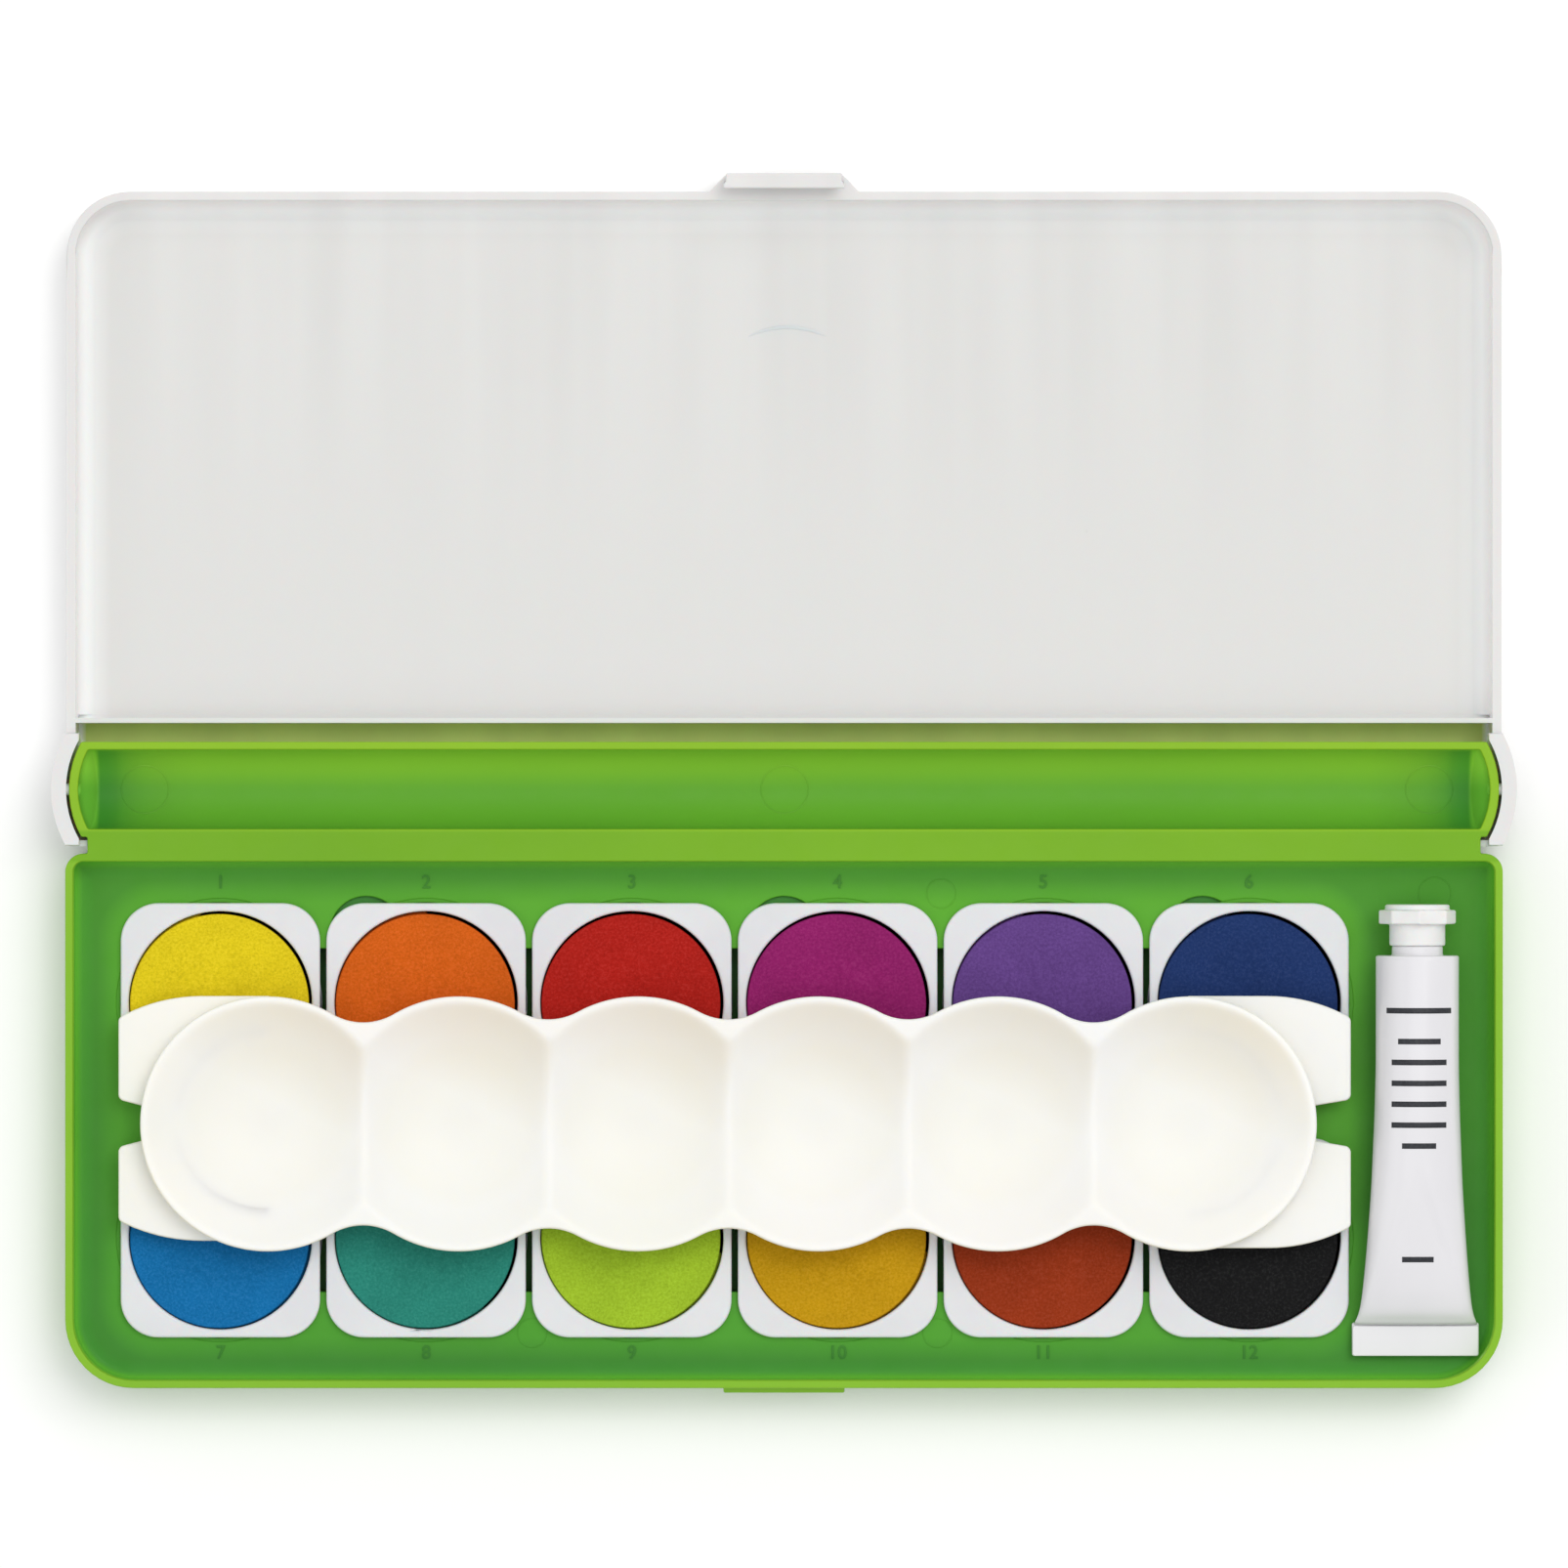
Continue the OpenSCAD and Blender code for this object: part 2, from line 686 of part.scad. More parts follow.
// A slice of the sleeve at a distance from its round end, flattened to the given height
// and raised off the deck.
module slice(distance, height, rise) {
    width = (PI * tube_d - height * (PI - 2)) / 2;
    half = (width - height) / 2;
    translate([tube_x, -sleeve_y - shoulder_t - distance, deck_z + rise + height / 2])
        rotate([90, 0, 0]) linear_extrude(slice_t) for (s = [-1, 1]) translate([s * half, 0])
            circle(height / 2, $fn = 36);
}

module tube_sleeve() {
    full = sleeve_l - fold_l - shoulder_t - slice_t;
    stations = [[0, tube_d, 0], [0.36 * full, tube_d, 0], [0.75 * full, 0.62 * tube_d, 0],
        [0.95 * full, 0.34 * tube_d, fold_rise / 2], [full, fold_t, fold_rise]];
    color(tube_white) from_axis() {
        for (k = [0 : len(stations) - 2]) hull() {
            slice(stations[k][0], stations[k][1], stations[k][2]);
            slice(stations[k + 1][0], stations[k + 1][1], stations[k + 1][2]);
        }
        translate([tube_x - fold_w / 2, -sleeve_y - sleeve_l, deck_z + fold_rise + 0.05])
            cube([fold_w, fold_l + slice_t / 2, fold_t + 0.2]);
    }
}

module tube_shoulder() {
    color(tube_white) from_axis() difference() {
        union() {
            along_tube(sleeve_y) cylinder(r = tube_r, h = shoulder_t);
            along_tube(sleeve_y - collar_h) cylinder(r = collar_d / 2, h = collar_h + eps);
            along_tube(cap_y + head_h) cylinder(r = neck_d / 2, h = skirt_h + collar_h);
        }
        along_tube(cap_y) cylinder(r = nozzle_d / 2, h = sleeve_y + shoulder_t / 2 - cap_y);
    }
}

module tube_cap() {
    top = 0.9;
    color(tube_white) from_axis() difference() {
        union() {
            along_tube(cap_y) cylinder(d = head_d * 0.83, h = top + eps);
            along_tube(cap_y + top) cylinder(d = head_d, h = head_h - top, $fn = 8);
            along_tube(cap_y + head_h - eps) cylinder(d = skirt_d, h = skirt_h + eps);
        }
        along_tube(cap_y + head_h - 0.8) cylinder(r = neck_d / 2 + neck_gap, h = skirt_h + 2);
    }
}

base_tray();
lid();
palette();
tube_sleeve();
tube_shoulder();
tube_cap();
for (i = [0 : len(held) - 1]) {
    pan(i);
    tablet(i);
}
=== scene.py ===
import math

import bmesh
import bpy
from mathutils import Matrix, Vector, noise


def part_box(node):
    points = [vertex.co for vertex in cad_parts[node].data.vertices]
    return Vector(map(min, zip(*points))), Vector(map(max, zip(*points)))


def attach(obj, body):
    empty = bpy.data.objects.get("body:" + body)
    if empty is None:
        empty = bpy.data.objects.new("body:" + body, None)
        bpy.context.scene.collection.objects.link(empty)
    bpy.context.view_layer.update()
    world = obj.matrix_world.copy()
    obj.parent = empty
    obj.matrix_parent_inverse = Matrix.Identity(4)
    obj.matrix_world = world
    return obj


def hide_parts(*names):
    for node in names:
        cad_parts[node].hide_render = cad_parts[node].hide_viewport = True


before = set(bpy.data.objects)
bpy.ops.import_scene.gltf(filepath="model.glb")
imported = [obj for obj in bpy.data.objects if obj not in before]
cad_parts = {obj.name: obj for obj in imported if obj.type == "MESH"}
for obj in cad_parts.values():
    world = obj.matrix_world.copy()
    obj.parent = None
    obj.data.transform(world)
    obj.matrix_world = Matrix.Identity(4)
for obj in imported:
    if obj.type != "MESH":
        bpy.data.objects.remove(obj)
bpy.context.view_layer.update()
scene = bpy.context.scene
mm = 0.001


def nodeMiddle(node):
    low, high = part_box(node)
    return (low + high) / 2


def linear(red, green, blue):
    # screen colour, 0 to 255, to the linear colour that shaders take
    def channel(value):
        value /= 255
        return value / 12.92 if value <= 0.04045 else ((value + 0.055) / 1.055) ** 2.4
    return (channel(red), channel(green), channel(blue), 1)


studio = {
    "cameraHeight": 1.8,
    "viewWidth": 0.2589,       # width of the picture, on the level of the rims
    "viewLevel": 0.0115,
    "middleY": -0.00006,
    "skyStrength": 0.60,
    "tableColor": (254, 254, 254),
}

softBoxes = [
    # name, place, width, watts, colour
    ("keyBox", (1.3, 1.3, 3.2), 2.2, 42, (1.0, 0.99, 0.975)),
    ("topBox", (0.0, 0.3, 4.0), 3.2, 34, (1.0, 1.0, 1.0)),
    ("leftBox", (-2.4, -0.9, 1.8), 1.8, 9, (0.97, 0.98, 1.0)),
]


def makeCamera():
    camera = bpy.data.cameras.new("aboveCamera")
    camera.sensor_width = 36
    distance = studio["cameraHeight"] - studio["viewLevel"]
    camera.lens = camera.sensor_width * distance / studio["viewWidth"]
    camera.clip_end = 10
    holder = bpy.data.objects.new("aboveCamera", camera)
    holder.location = (0, studio["middleY"], studio["cameraHeight"])
    scene.collection.objects.link(holder)
    scene.camera = holder


def makeLights():
    for name, place, width, watts, color in softBoxes:
        light = bpy.data.lights.new(name, "AREA")
        light.shape = "SQUARE"
        light.size = width
        light.energy = watts
        light.color = color
        holder = bpy.data.objects.new(name, light)
        holder.location = place
        holder.rotation_euler = (-Vector(place)).to_track_quat("-Z", "Y").to_euler()
        scene.collection.objects.link(holder)
    world = bpy.data.worlds.new("paleStudio")
    world.use_nodes = True
    sky = world.node_tree.nodes["Background"]
    sky.inputs["Color"].default_value = (1, 1, 1, 1)
    sky.inputs["Strength"].default_value = studio["skyStrength"]
    scene.world = world
    scene.view_settings.view_transform = "Standard"


def makeTable():
    size = 3
    mesh = bpy.data.meshes.new("tableTop")
    corners = [(-size, -size, 0), (size, -size, 0), (size, size, 0), (-size, size, 0)]
    mesh.from_pydata(corners, [], [(0, 1, 2, 3)])
    table = bpy.data.objects.new("tableTop", mesh)
    scene.collection.objects.link(table)
    finish = bpy.data.materials.new("paleTable")
    finish.use_nodes = True
    shader = finish.node_tree.nodes["Principled BSDF"]
    shader.inputs["Base Color"].default_value = linear(*studio["tableColor"])
    shader.inputs["Roughness"].default_value = 0.9
    mesh.materials.append(finish)


makeCamera()
makeLights()
makeTable()
print("stage: camera, lights and table")


def startFinish(name, **sockets):
    material = bpy.data.materials.new(name)
    material.use_nodes = True
    tree = material.node_tree
    shader = tree.nodes["Principled BSDF"]
    for socket, value in sockets.items():
        shader.inputs[socket.replace("_", " ")].default_value = value
    place = tree.nodes.new("ShaderNodeTexCoord")
    return material, tree, shader, place.outputs["Object"]


def addNoise(tree, where, scale, detail=3, rough=0.55, stretch=None):
    if stretch:
        mapping = tree.nodes.new("ShaderNodeMapping")
        mapping.inputs["Scale"].default_value = stretch
        tree.links.new(where, mapping.inputs["Vector"])
        where = mapping.outputs["Vector"]
    texture = tree.nodes.new("ShaderNodeTexNoise")
    texture.inputs["Scale"].default_value = scale
    texture.inputs["Detail"].default_value = detail
    texture.inputs["Roughness"].default_value = rough
    tree.links.new(where, texture.inputs["Vector"])
    return texture.outputs["Fac"]


def addRamp(tree, value, stops):
    ramp = tree.nodes.new("ShaderNodeValToRGB")
    points = ramp.color_ramp.elements
    while len(points) < len(stops):
        points.new(0.5)
    for point, (place, color) in zip(points, stops):
        point.position = place
        point.color = color
    tree.links.new(value, ramp.inputs["Fac"])
    return ramp.outputs["Color"]


def addMix(tree, kind, factor, first, second):
    mix = tree.nodes.new("ShaderNodeMix")
    mix.data_type = "RGBA"
    mix.blend_type = kind
    for name, value in (("Factor", factor), ("A", first), ("B", second)):
        socket = mix.inputs[name]
        if isinstance(value, (float, int, tuple)):
            socket.default_value = value
        else:
            tree.links.new(value, socket)
    return mix.outputs["Result"]


def addRange(tree, value, fromLow, fromHigh, toLow=0.0, toHigh=1.0, smooth=False):
    remap = tree.nodes.new("ShaderNodeMapRange")
    if smooth:
        remap.interpolation_type = "SMOOTHSTEP"
    limits = (("From Min", fromLow), ("From Max", fromHigh), ("To Min", toLow), ("To Max", toHigh))
    for socket, number in limits:
        remap.inputs[socket].default_value = number
    tree.links.new(value, remap.inputs["Value"])
    return remap.outputs["Result"]


def addMath(tree, operation, first, second=0.0):
    node = tree.nodes.new("ShaderNodeMath")
    node.operation = operation
    for socket, value in zip(node.inputs, (first, second)):
        if isinstance(value, (float, int)):
            socket.default_value = value
        else:
            tree.links.new(value, socket)
    return node.outputs[0]


def addBand(tree, value, low, high, soft):
    # 1 between low and high, 0 outside, with soft ends; all in millimetres
    rise = addRange(tree, value, (low - soft) * mm, (low + soft) * mm)
    fall = addRange(tree, value, (high - soft) * mm, (high + soft) * mm, 1.0, 0.0)
    return addMath(tree, "MULTIPLY", rise, fall)


def addWallDistance(tree, x, y, halfX, lowY, highY, cornerRadius):
    # distance inwards from the sides of a rectangle with round corners; negative outside it
    overX = addMath(tree, "SUBTRACT", addMath(tree, "ABSOLUTE", x), (halfX - cornerRadius) * mm)
    middle, halfY = (lowY + highY) / 2, (highY - lowY) / 2
    fromMiddle = addMath(tree, "ABSOLUTE", addMath(tree, "SUBTRACT", y, middle * mm))
    overY = addMath(tree, "SUBTRACT", fromMiddle, (halfY - cornerRadius) * mm)
    cornerX = addMath(tree, "MAXIMUM", overX, 0.0)
    cornerY = addMath(tree, "MAXIMUM", overY, 0.0)
    squares = [addMath(tree, "MULTIPLY", side, side) for side in (cornerX, cornerY)]
    corner = addMath(tree, "SQRT", addMath(tree, "ADD", *squares))
    flat = addMath(tree, "MINIMUM", addMath(tree, "MAXIMUM", overX, overY), 0.0)
    return addMath(tree, "SUBTRACT", cornerRadius * mm, addMath(tree, "ADD", corner, flat))


def addBump(tree, shader, height, strength, distance, under=None):
    bump = tree.nodes.new("ShaderNodeBump")
    bump.inputs["Strength"].default_value = strength
    bump.inputs["Distance"].default_value = distance
    tree.links.new(height, bump.inputs["Height"])
    if under:
        tree.links.new(under, bump.inputs["Normal"])
    tree.links.new(bump.outputs["Normal"], shader.inputs["Normal"])
    return bump.outputs["Normal"]


def splitPlace(tree, where):
    split = tree.nodes.new("ShaderNodeSeparateXYZ")
    tree.links.new(where, split.inputs["Vector"])
    return split.outputs["X"], split.outputs["Y"], split.outputs["Z"]


panNodes = [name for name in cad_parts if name.startswith("pan_")]
pansLow = Vector([min(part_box(name)[0][k] for name in panNodes) / mm for k in range(3)])
pansHigh = Vector([max(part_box(name)[1][k] for name in panNodes) / mm for k in range(3)])

greenLook = {
    "top": 13.0,              # height of the tray's rim
    # painted shade: the wells beside the pans turn darker and bluer towards their floors
    "shadedWellFloor": (58, 116, 50),
    "wellSide": (66, 138, 56),
    "deckBack": (76, 149, 45),
    "deckFront": (65, 139, 46),
    "trayInside": (117.3, -98.45, -12.85, 9.2),    # half width, front, back and front corner radius
    # painted light beside the tray's walls, standing in for light that comes through them: distance and
    # factor
    "paintedLightBesideWall": ((0.0, (2.1, 1.8, 1.5, 1)), (0.6, (1.7, 1.5, 1.3, 1)), (1.2, (1.25, 1.22, 1.2, 1)),
                   (2.0, (1.05, 1.1, 1.1, 1)), (3.2, (1, 1, 1, 1))),
    # painted light on the deck beside the pans: distance and factor
    "paintedLightBesidePans": ((0.0, (1.5, 1.35, 1.05, 1)), (1.2, (1.35, 1.25, 1.0, 1)), (4.0, (1, 1, 1, 1))),
    "wall": (84, 156, 56),
    # painted light: the rim glows brighter and yellower
    "rim": (133, 186, 46),
    "outsideLow": (98, 162, 44),
    "ledge": (118, 174, 34),
    "troughFloor": (103, 172, 48),
    "troughBackPaintedLight": (146, 208, 60),
    "troughRim": (140, 188, 40),
    # painted shade along the trough's floor towards its ends, and painted light on its end domes: distance
    # from the middle and factor
    "ends": ((97.0, (1, 1, 1, 1)), (103.6, (0.92, 0.93, 1, 1)), (106.0, (0.86, 0.91, 1, 1)),
             (108.1, (0.76, 0.84, 1, 1)), (109.4, (0.66, 0.80, 1, 1)), (110.7, (0.50, 0.70, 0.96, 1)),
             (112.0, (0.42, 0.67, 1, 1)), (113.3, (0.42, 0.67, 1, 1)), (113.9, (1.15, 1.15, 1.4, 1)),
             (115.5, (1.5, 1.45, 2.0, 1))),
}


def makeGreenPlastic(name, tint):
    # dyed through, a little translucent; painted light makes thin rims glow yellow green, and painted shade
    # makes deep places darker and bluer
    material, tree, shader, where = startFinish(
        name, Roughness=0.5, IOR=1.5, Specular_IOR_Level=0.16,
        Subsurface_Weight=0.08, Subsurface_Scale=0.004)
    shader.inputs["Subsurface Radius"].default_value = (0.6, 1.0, 0.15)
    x, y, z = splitPlace(tree, where)
    look = greenLook
    top = look["top"]
    deck = addMix(tree, "MIX", addRange(tree, y, -94 * mm, -16 * mm),
                  linear(*look["deckFront"]), linear(*look["deckBack"]))
    # painted light: the walls lighter and yellower upwards, to the glowing rim
    wall = addRamp(tree, addRange(tree, z, 0, top * mm), [
        (7.2 / top, linear(*look["deckBack"])), (9.5 / top, linear(*look["wall"])),
        (12.4 / top, linear(*look["rim"])), (1.0, linear(*look["rim"]))])
    inTray = addMix(tree, "MIX", addRange(tree, z, 7.3 * mm, 7.8 * mm), deck, wall)
    halfX, front, back, corner = look["trayInside"]
    toWall = addMath(tree, "MINIMUM", addWallDistance(tree, x, y, halfX, front, back + 60, corner),
                     addMath(tree, "SUBTRACT", back * mm, y))
    # painted light: the tray's inside brighter beside its walls
    far = look["paintedLightBesideWall"][-1][0]
    paintedLight = addRamp(tree, addRange(tree, toWall, 0, far * mm),
                  [(away / far, factor) for away, factor in look["paintedLightBesideWall"]])
    belowRim = addMath(tree, "MULTIPLY", addRange(tree, z, 11.2 * mm, 12.6 * mm, 1.0, 0.0),
                       addRange(tree, toWall, -0.5 * mm, -0.2 * mm))
    inTray = addMix(tree, "MULTIPLY", belowRim, inTray, paintedLight)
    fromPans = addWallDistance(tree, addMath(tree, "SUBTRACT", x, (pansLow.x + pansHigh.x) / 2 * mm), y,
                               (pansHigh.x - pansLow.x) / 2, pansLow.y, pansHigh.y, 6.3)
    fromPans = addMath(tree, "MULTIPLY", fromPans, -1.0)
    # painted light: the deck brighter beside the pans
    far = look["paintedLightBesidePans"][-1][0]
    paintedLight = addRamp(tree, addRange(tree, fromPans, 0, far * mm),
                  [(away / far, factor) for away, factor in look["paintedLightBesidePans"]])
    inTray = addMix(tree, "MULTIPLY", addBand(tree, z, 6.9, 8.0, 0.1), inTray, paintedLight)
    # painted shade: the wells darker and bluer towards their floors
    well = addMix(tree, "MIX", addRange(tree, z, 1.4 * mm, 4.5 * mm), linear(*look["shadedWellFloor"]),
                  linear(*look["wellSide"]))
    inWells = addMath(tree, "MULTIPLY", addRange(tree, fromPans, 1.6 * mm, 2.4 * mm, 1.0, 0.0),
                      addRange(tree, z, 6.6 * mm, 7.1 * mm, 1.0, 0.0))
    inTray = addMix(tree, "MIX", inWells, inTray, well)
    outside = addRange(tree, toWall, -1.1 * mm, -0.7 * mm, 1.0, 0.0)
    # painted light: the outside of the walls lighter upwards, to the glowing rim
    outer = addMix(tree, "MIX", addRange(tree, z, 0, 12.4 * mm),
                   linear(*look["outsideLow"]), linear(*look["rim"]))
    inTray = addMix(tree, "MIX", outside, inTray, outer)
    ledge = addMath(tree, "MULTIPLY", addBand(tree, y, -12.9, -7.7, 0.3),
                    addRange(tree, z, 12.2 * mm, 12.8 * mm))
    inTray = addMix(tree, "MIX", ledge, inTray, linear(*look["ledge"]))
    # painted light: the trough's back wall and rim brighter than its floor
    inTrough = addMix(tree, "MIX", addRange(tree, y, -1.5 * mm, 4.2 * mm, 0.0, 1.0, True),
                      linear(*look["troughFloor"]), linear(*look["troughBackPaintedLight"]))
    inTrough = addMix(tree, "MIX", addRange(tree, z, 12.0 * mm, 12.8 * mm),
                      inTrough, linear(*look["troughRim"]))
    nearHinge = addRange(tree, y, -8.0 * mm, -7.4 * mm)
    color = addMix(tree, "MIX", nearHinge, inTray, inTrough)
    # painted shade towards the trough's ends, and painted light on the end domes
    first, last = look["ends"][0][0], look["ends"][-1][0]
    ends = addRamp(tree, addRange(tree, addMath(tree, "ABSOLUTE", x), first * mm, last * mm),
                   [((place - first) / (last - first), factor) for place, factor in look["ends"]])
    low = addRange(tree, z, 9.0 * mm, 12.5 * mm, 1.0, 0.0)
    color = addMix(tree, "MULTIPLY", addMath(tree, "MULTIPLY", low, nearHinge), color, ends)
    flow = addNoise(tree, where, 9, 3, 0.6, (1.0, 2.6, 1.0))
    shade = addRamp(tree, flow, [(0.3, (0.86, 0.9, 0.92, 1)), (0.7, (1.08, 1.05, 1.0, 1))])
    color = addMix(tree, "MULTIPLY", 0.8, color, shade)
    if tint[0] < 1:
        color = addMix(tree, "MULTIPLY", 1.0, color, tint)
    tree.links.new(color, shader.inputs["Base Color"])
    rough = addNoise(tree, where, 260, 2)
    tree.links.new(addRange(tree, rough, 0.3, 0.7, 0.44, 0.56), shader.inputs["Roughness"])
    addBump(tree, shader, addNoise(tree, where, 900, 3), 0.12, 0.00012)
    return material


lidLook = {
    "panel": (220, 219, 217),
    "foot": (231, 230, 229),        # painted light in the soft inner corner, standing in for light the thin plastic gathers
    # painted light on the lid's walls
    "wall": (250, 250, 249),
    "rim": (224, 224, 223),
    "paintedGreenLight": (218, 234, 134),   # painted green light on the inside of the hinge cover, standing in for light from the green trough
    "inside": (117.1, -60.0, 96.35, 9.0),   # half width, back, front and corner radius within the walls
    "ribY": 10.0,
    "flowWidth": 90,
    "edgeRound": 0.28,
    "gateMark": (0.5, 75.8, 14.0, 27),   # middle, radius and half angle of the faint crescent
    "panelLevel": 1.2,
}


def makeLidPlastic():
    # white and thin: long soft flow lines run from the clasp side towards the hinge
    material, tree, shader, where = startFinish(
        "lid plastic", Roughness=0.42, IOR=1.5, Specular_IOR_Level=0.25,
        Subsurface_Weight=0.15, Subsurface_Scale=0.003)
    look = lidLook
    x, y, z = splitPlace(tree, where)
    across = addMath(tree, "ABSOLUTE", x)
    toWall = addWallDistance(tree, x, y, *look["inside"])
    # painted light: brighter on the walls and in the soft inner corner than on the panel
    height = addRamp(tree, addRange(tree, toWall, 0, 12 * mm), [
        (0.0, linear(*look["wall"])), (0.10, linear(*look["wall"])), (0.22, linear(*look["foot"])),
        (0.45, linear(*look["panel"])), (1.0, linear(*look["panel"]))])
    outer = addMath(tree, "MAXIMUM", addRange(tree, z, 8.9 * mm, 9.3 * mm),
                    addRange(tree, across, 118.5 * mm, 118.7 * mm))
    height = addMix(tree, "MIX", outer, height, linear(*look["rim"]))
    # painted green light inside the hinge cover, on faces that look up
    facing = tree.nodes.new("ShaderNodeTexCoord").outputs["Normal"]
    upward = addRange(tree, splitPlace(tree, facing)[2], 0.15, 0.4)
    within = addMath(tree, "MULTIPLY", addBand(tree, y, -9.0, look["ribY"], 0.1),
                     addRange(tree, across, 115.8 * mm, 116.6 * mm, 1.0, 0.0))
    paintedGreenMask = addMath(tree, "MULTIPLY", upward, within)
    streaks = addNoise(tree, where, 45, 3, 0.6, (1.0, 0.2, 0.2))
    olive = addRamp(tree, streaks, [(0.35, tuple(0.86 * c for c in linear(*look["paintedGreenLight"])[:3]) + (1,)),
                                    (0.65, linear(*look["paintedGreenLight"]))])
    height = addMix(tree, "MIX", paintedGreenMask, height, olive)
    lines = addNoise(tree, where, look["flowWidth"], 2, 0.5, (1.0, 0.05, 0.05))
    strength = addMath(tree, "MULTIPLY", addRange(tree, y, 35 * mm, 80 * mm, 0.12, 1.0, True), 0.85)
    tint = addRamp(tree, lines, [(0.38, (0.965, 0.965, 0.965, 1)), (0.62, (1.02, 1.02, 1.02, 1))])
    color = addMix(tree, "MULTIPLY", strength, height, tint)
    specks = tree.nodes.new("ShaderNodeTexVoronoi")
    specks.inputs["Scale"].default_value = 95
    specks.inputs["Randomness"].default_value = 1
    tree.links.new(where, specks.inputs["Vector"])
    dots = addRamp(tree, specks.outputs["Distance"], [(0.0, (0.80, 0.79, 0.77, 1)), (0.032, (1, 1, 1, 1))])
    rare = addNoise(tree, where, 37, 1)
    color = addMix(tree, "MULTIPLY", addRange(tree, rare, 0.60, 0.66), color, dots)
    tree.links.new(color, shader.inputs["Base Color"])
    swell = addNoise(tree, where, 34, 2, 0.5, (1.0, 0.12, 0.12))
    soft = addBump(tree, shader, swell, 0.25, 0.0006)
    addBump(tree, shader, addNoise(tree, where, 1100, 2), 0.08, 0.0001, soft)
    return material


def makePalettePlastic():
    material, tree, shader, where = startFinish(
        "palette plastic", Roughness=0.42, IOR=1.5, Specular_IOR_Level=0.2,
        Subsurface_Weight=0.35, Subsurface_Scale=0.003)
    shader.inputs["Subsurface Radius"].default_value = (1.0, 0.85, 0.6)
    clouds = addNoise(tree, where, 26, 3, 0.5)
    color = addRamp(tree, clouds, [(0.30, linear(248, 245, 236)), (0.70, linear(251, 249, 243))])
    x, y, z = splitPlace(tree, where)
    # painted shade: the low end tabs darker and warmer towards the left
    low = addRange(tree, z, 11.6 * mm, 12.8 * mm, 1.0, 0.0)
    left = addRange(tree, x, -96 * mm, -112 * mm, 0.25, 1.0)
    color = addMix(tree, "MIX", addMath(tree, "MULTIPLY", low, left), color, linear(246, 241, 222))
    # painted shade: slopes that face away from the light are darker and warmer
    facing = tree.nodes.new("ShaderNodeTexCoord").outputs["Normal"]
    normalX, normalY, normalZ = splitPlace(tree, facing)
    turn = addMath(tree, "ADD", addMath(tree, "MULTIPLY", normalX, -0.45),
                   addMath(tree, "MULTIPLY", normalY, -0.9))
    color = addMix(tree, "MULTIPLY", addRange(tree, turn, 0.12, 0.62), color, (0.88, 0.84, 0.77, 1))
    tree.links.new(color, shader.inputs["Base Color"])
    addBump(tree, shader, addNoise(tree, where, 700, 2), 0.06, 0.0001)
    return material


def makePanPlastic():
    material, tree, shader, where = startFinish(
        "pan plastic", Roughness=0.42, IOR=1.5, Specular_IOR_Level=0.3,
        Subsurface_Weight=0.25, Subsurface_Scale=0.002)
    clouds = addNoise(tree, where, 70, 3, 0.55)
    color = addRamp(tree, clouds, [(0.3, linear(221, 221, 225)), (0.7, linear(228, 228, 231))])
    tree.links.new(color, shader.inputs["Base Color"])
    addBump(tree, shader, addNoise(tree, where, 800, 2), 0.1, 0.0001)
    return material


def makePaint(name, color):
    # pressed powder: matte, with fine grains, a few coarse ones and slow clouds of tone
    material, tree, shader, where = startFinish(
        "paint " + name, Roughness=0.95, IOR=1.4, Specular_IOR_Level=0.1)
    base = linear(*color)
    dark = tuple(c * 0.82 for c in base[:3]) + (1,)
    light = tuple(min(1, c * 1.10 + 0.012) for c in base[:3]) + (1,)
    grains = addRamp(tree, addNoise(tree, where, 2300, 4, 0.7), [(0.34, dark), (0.5, base), (0.66, light)])
    clouds = addRamp(tree, addNoise(tree, where, 120, 3, 0.6),
                     [(0.35, (0.93, 0.93, 0.93, 1)), (0.65, (1.04, 1.04, 1.04, 1))])
    # dried paint and painted shade: darker below the tablet's face, in the gap round it
    z = splitPlace(tree, where)[2]
    stainAndShadeMask = addRange(tree, z, 7.0 * mm, 7.4 * mm, 1.0, 0.0)
    color = addMix(tree, "MULTIPLY", 1.0, grains, clouds)
    tree.links.new(addMix(tree, "MULTIPLY", stainAndShadeMask, color, (0.5, 0.46, 0.42, 1)), shader.inputs["Base Color"])
    fine = addBump(tree, shader, addNoise(tree, where, 2600, 4, 0.75), 0.5, 0.00022)
    addBump(tree, shader, addNoise(tree, where, 650, 3, 0.6), 0.35, 0.0003, fine)
    return material


def makeTubeFilm():
    material, tree, shader, where = startFinish("tube film", Roughness=0.32, IOR=1.5, Specular_IOR_Level=0.3)
    shader.inputs["Coat Weight"].default_value = 0.25
    shader.inputs["Coat Roughness"].default_value = 0.15
    clouds = addNoise(tree, where, 60, 3, 0.5, (1.0, 0.3, 1.0))
    color = addRamp(tree, clouds, [(0.3, linear(224, 223, 227)), (0.7, linear(231, 230, 233))])
    tree.links.new(color, shader.inputs["Base Color"])
    addBump(tree, shader, addNoise(tree, where, 150, 3, 0.5, (1.0, 0.35, 1.0)), 0.12, 0.0004)
    return material


def makeCapPlastic():
    material, tree, shader, where = startFinish(
        "cap plastic", Roughness=0.4, IOR=1.5, Specular_IOR_Level=0.3,
        Subsurface_Weight=0.2, Subsurface_Scale=0.002)
    clouds = addNoise(tree, where, 300, 3, 0.5)
    color = addRamp(tree, clouds, [(0.3, linear(230, 230, 229)), (0.7, linear(237, 237, 236))])
    tree.links.new(color, shader.inputs["Base Color"])
    addBump(tree, shader, addNoise(tree, where, 1500, 2), 0.1, 0.0001)
    return material


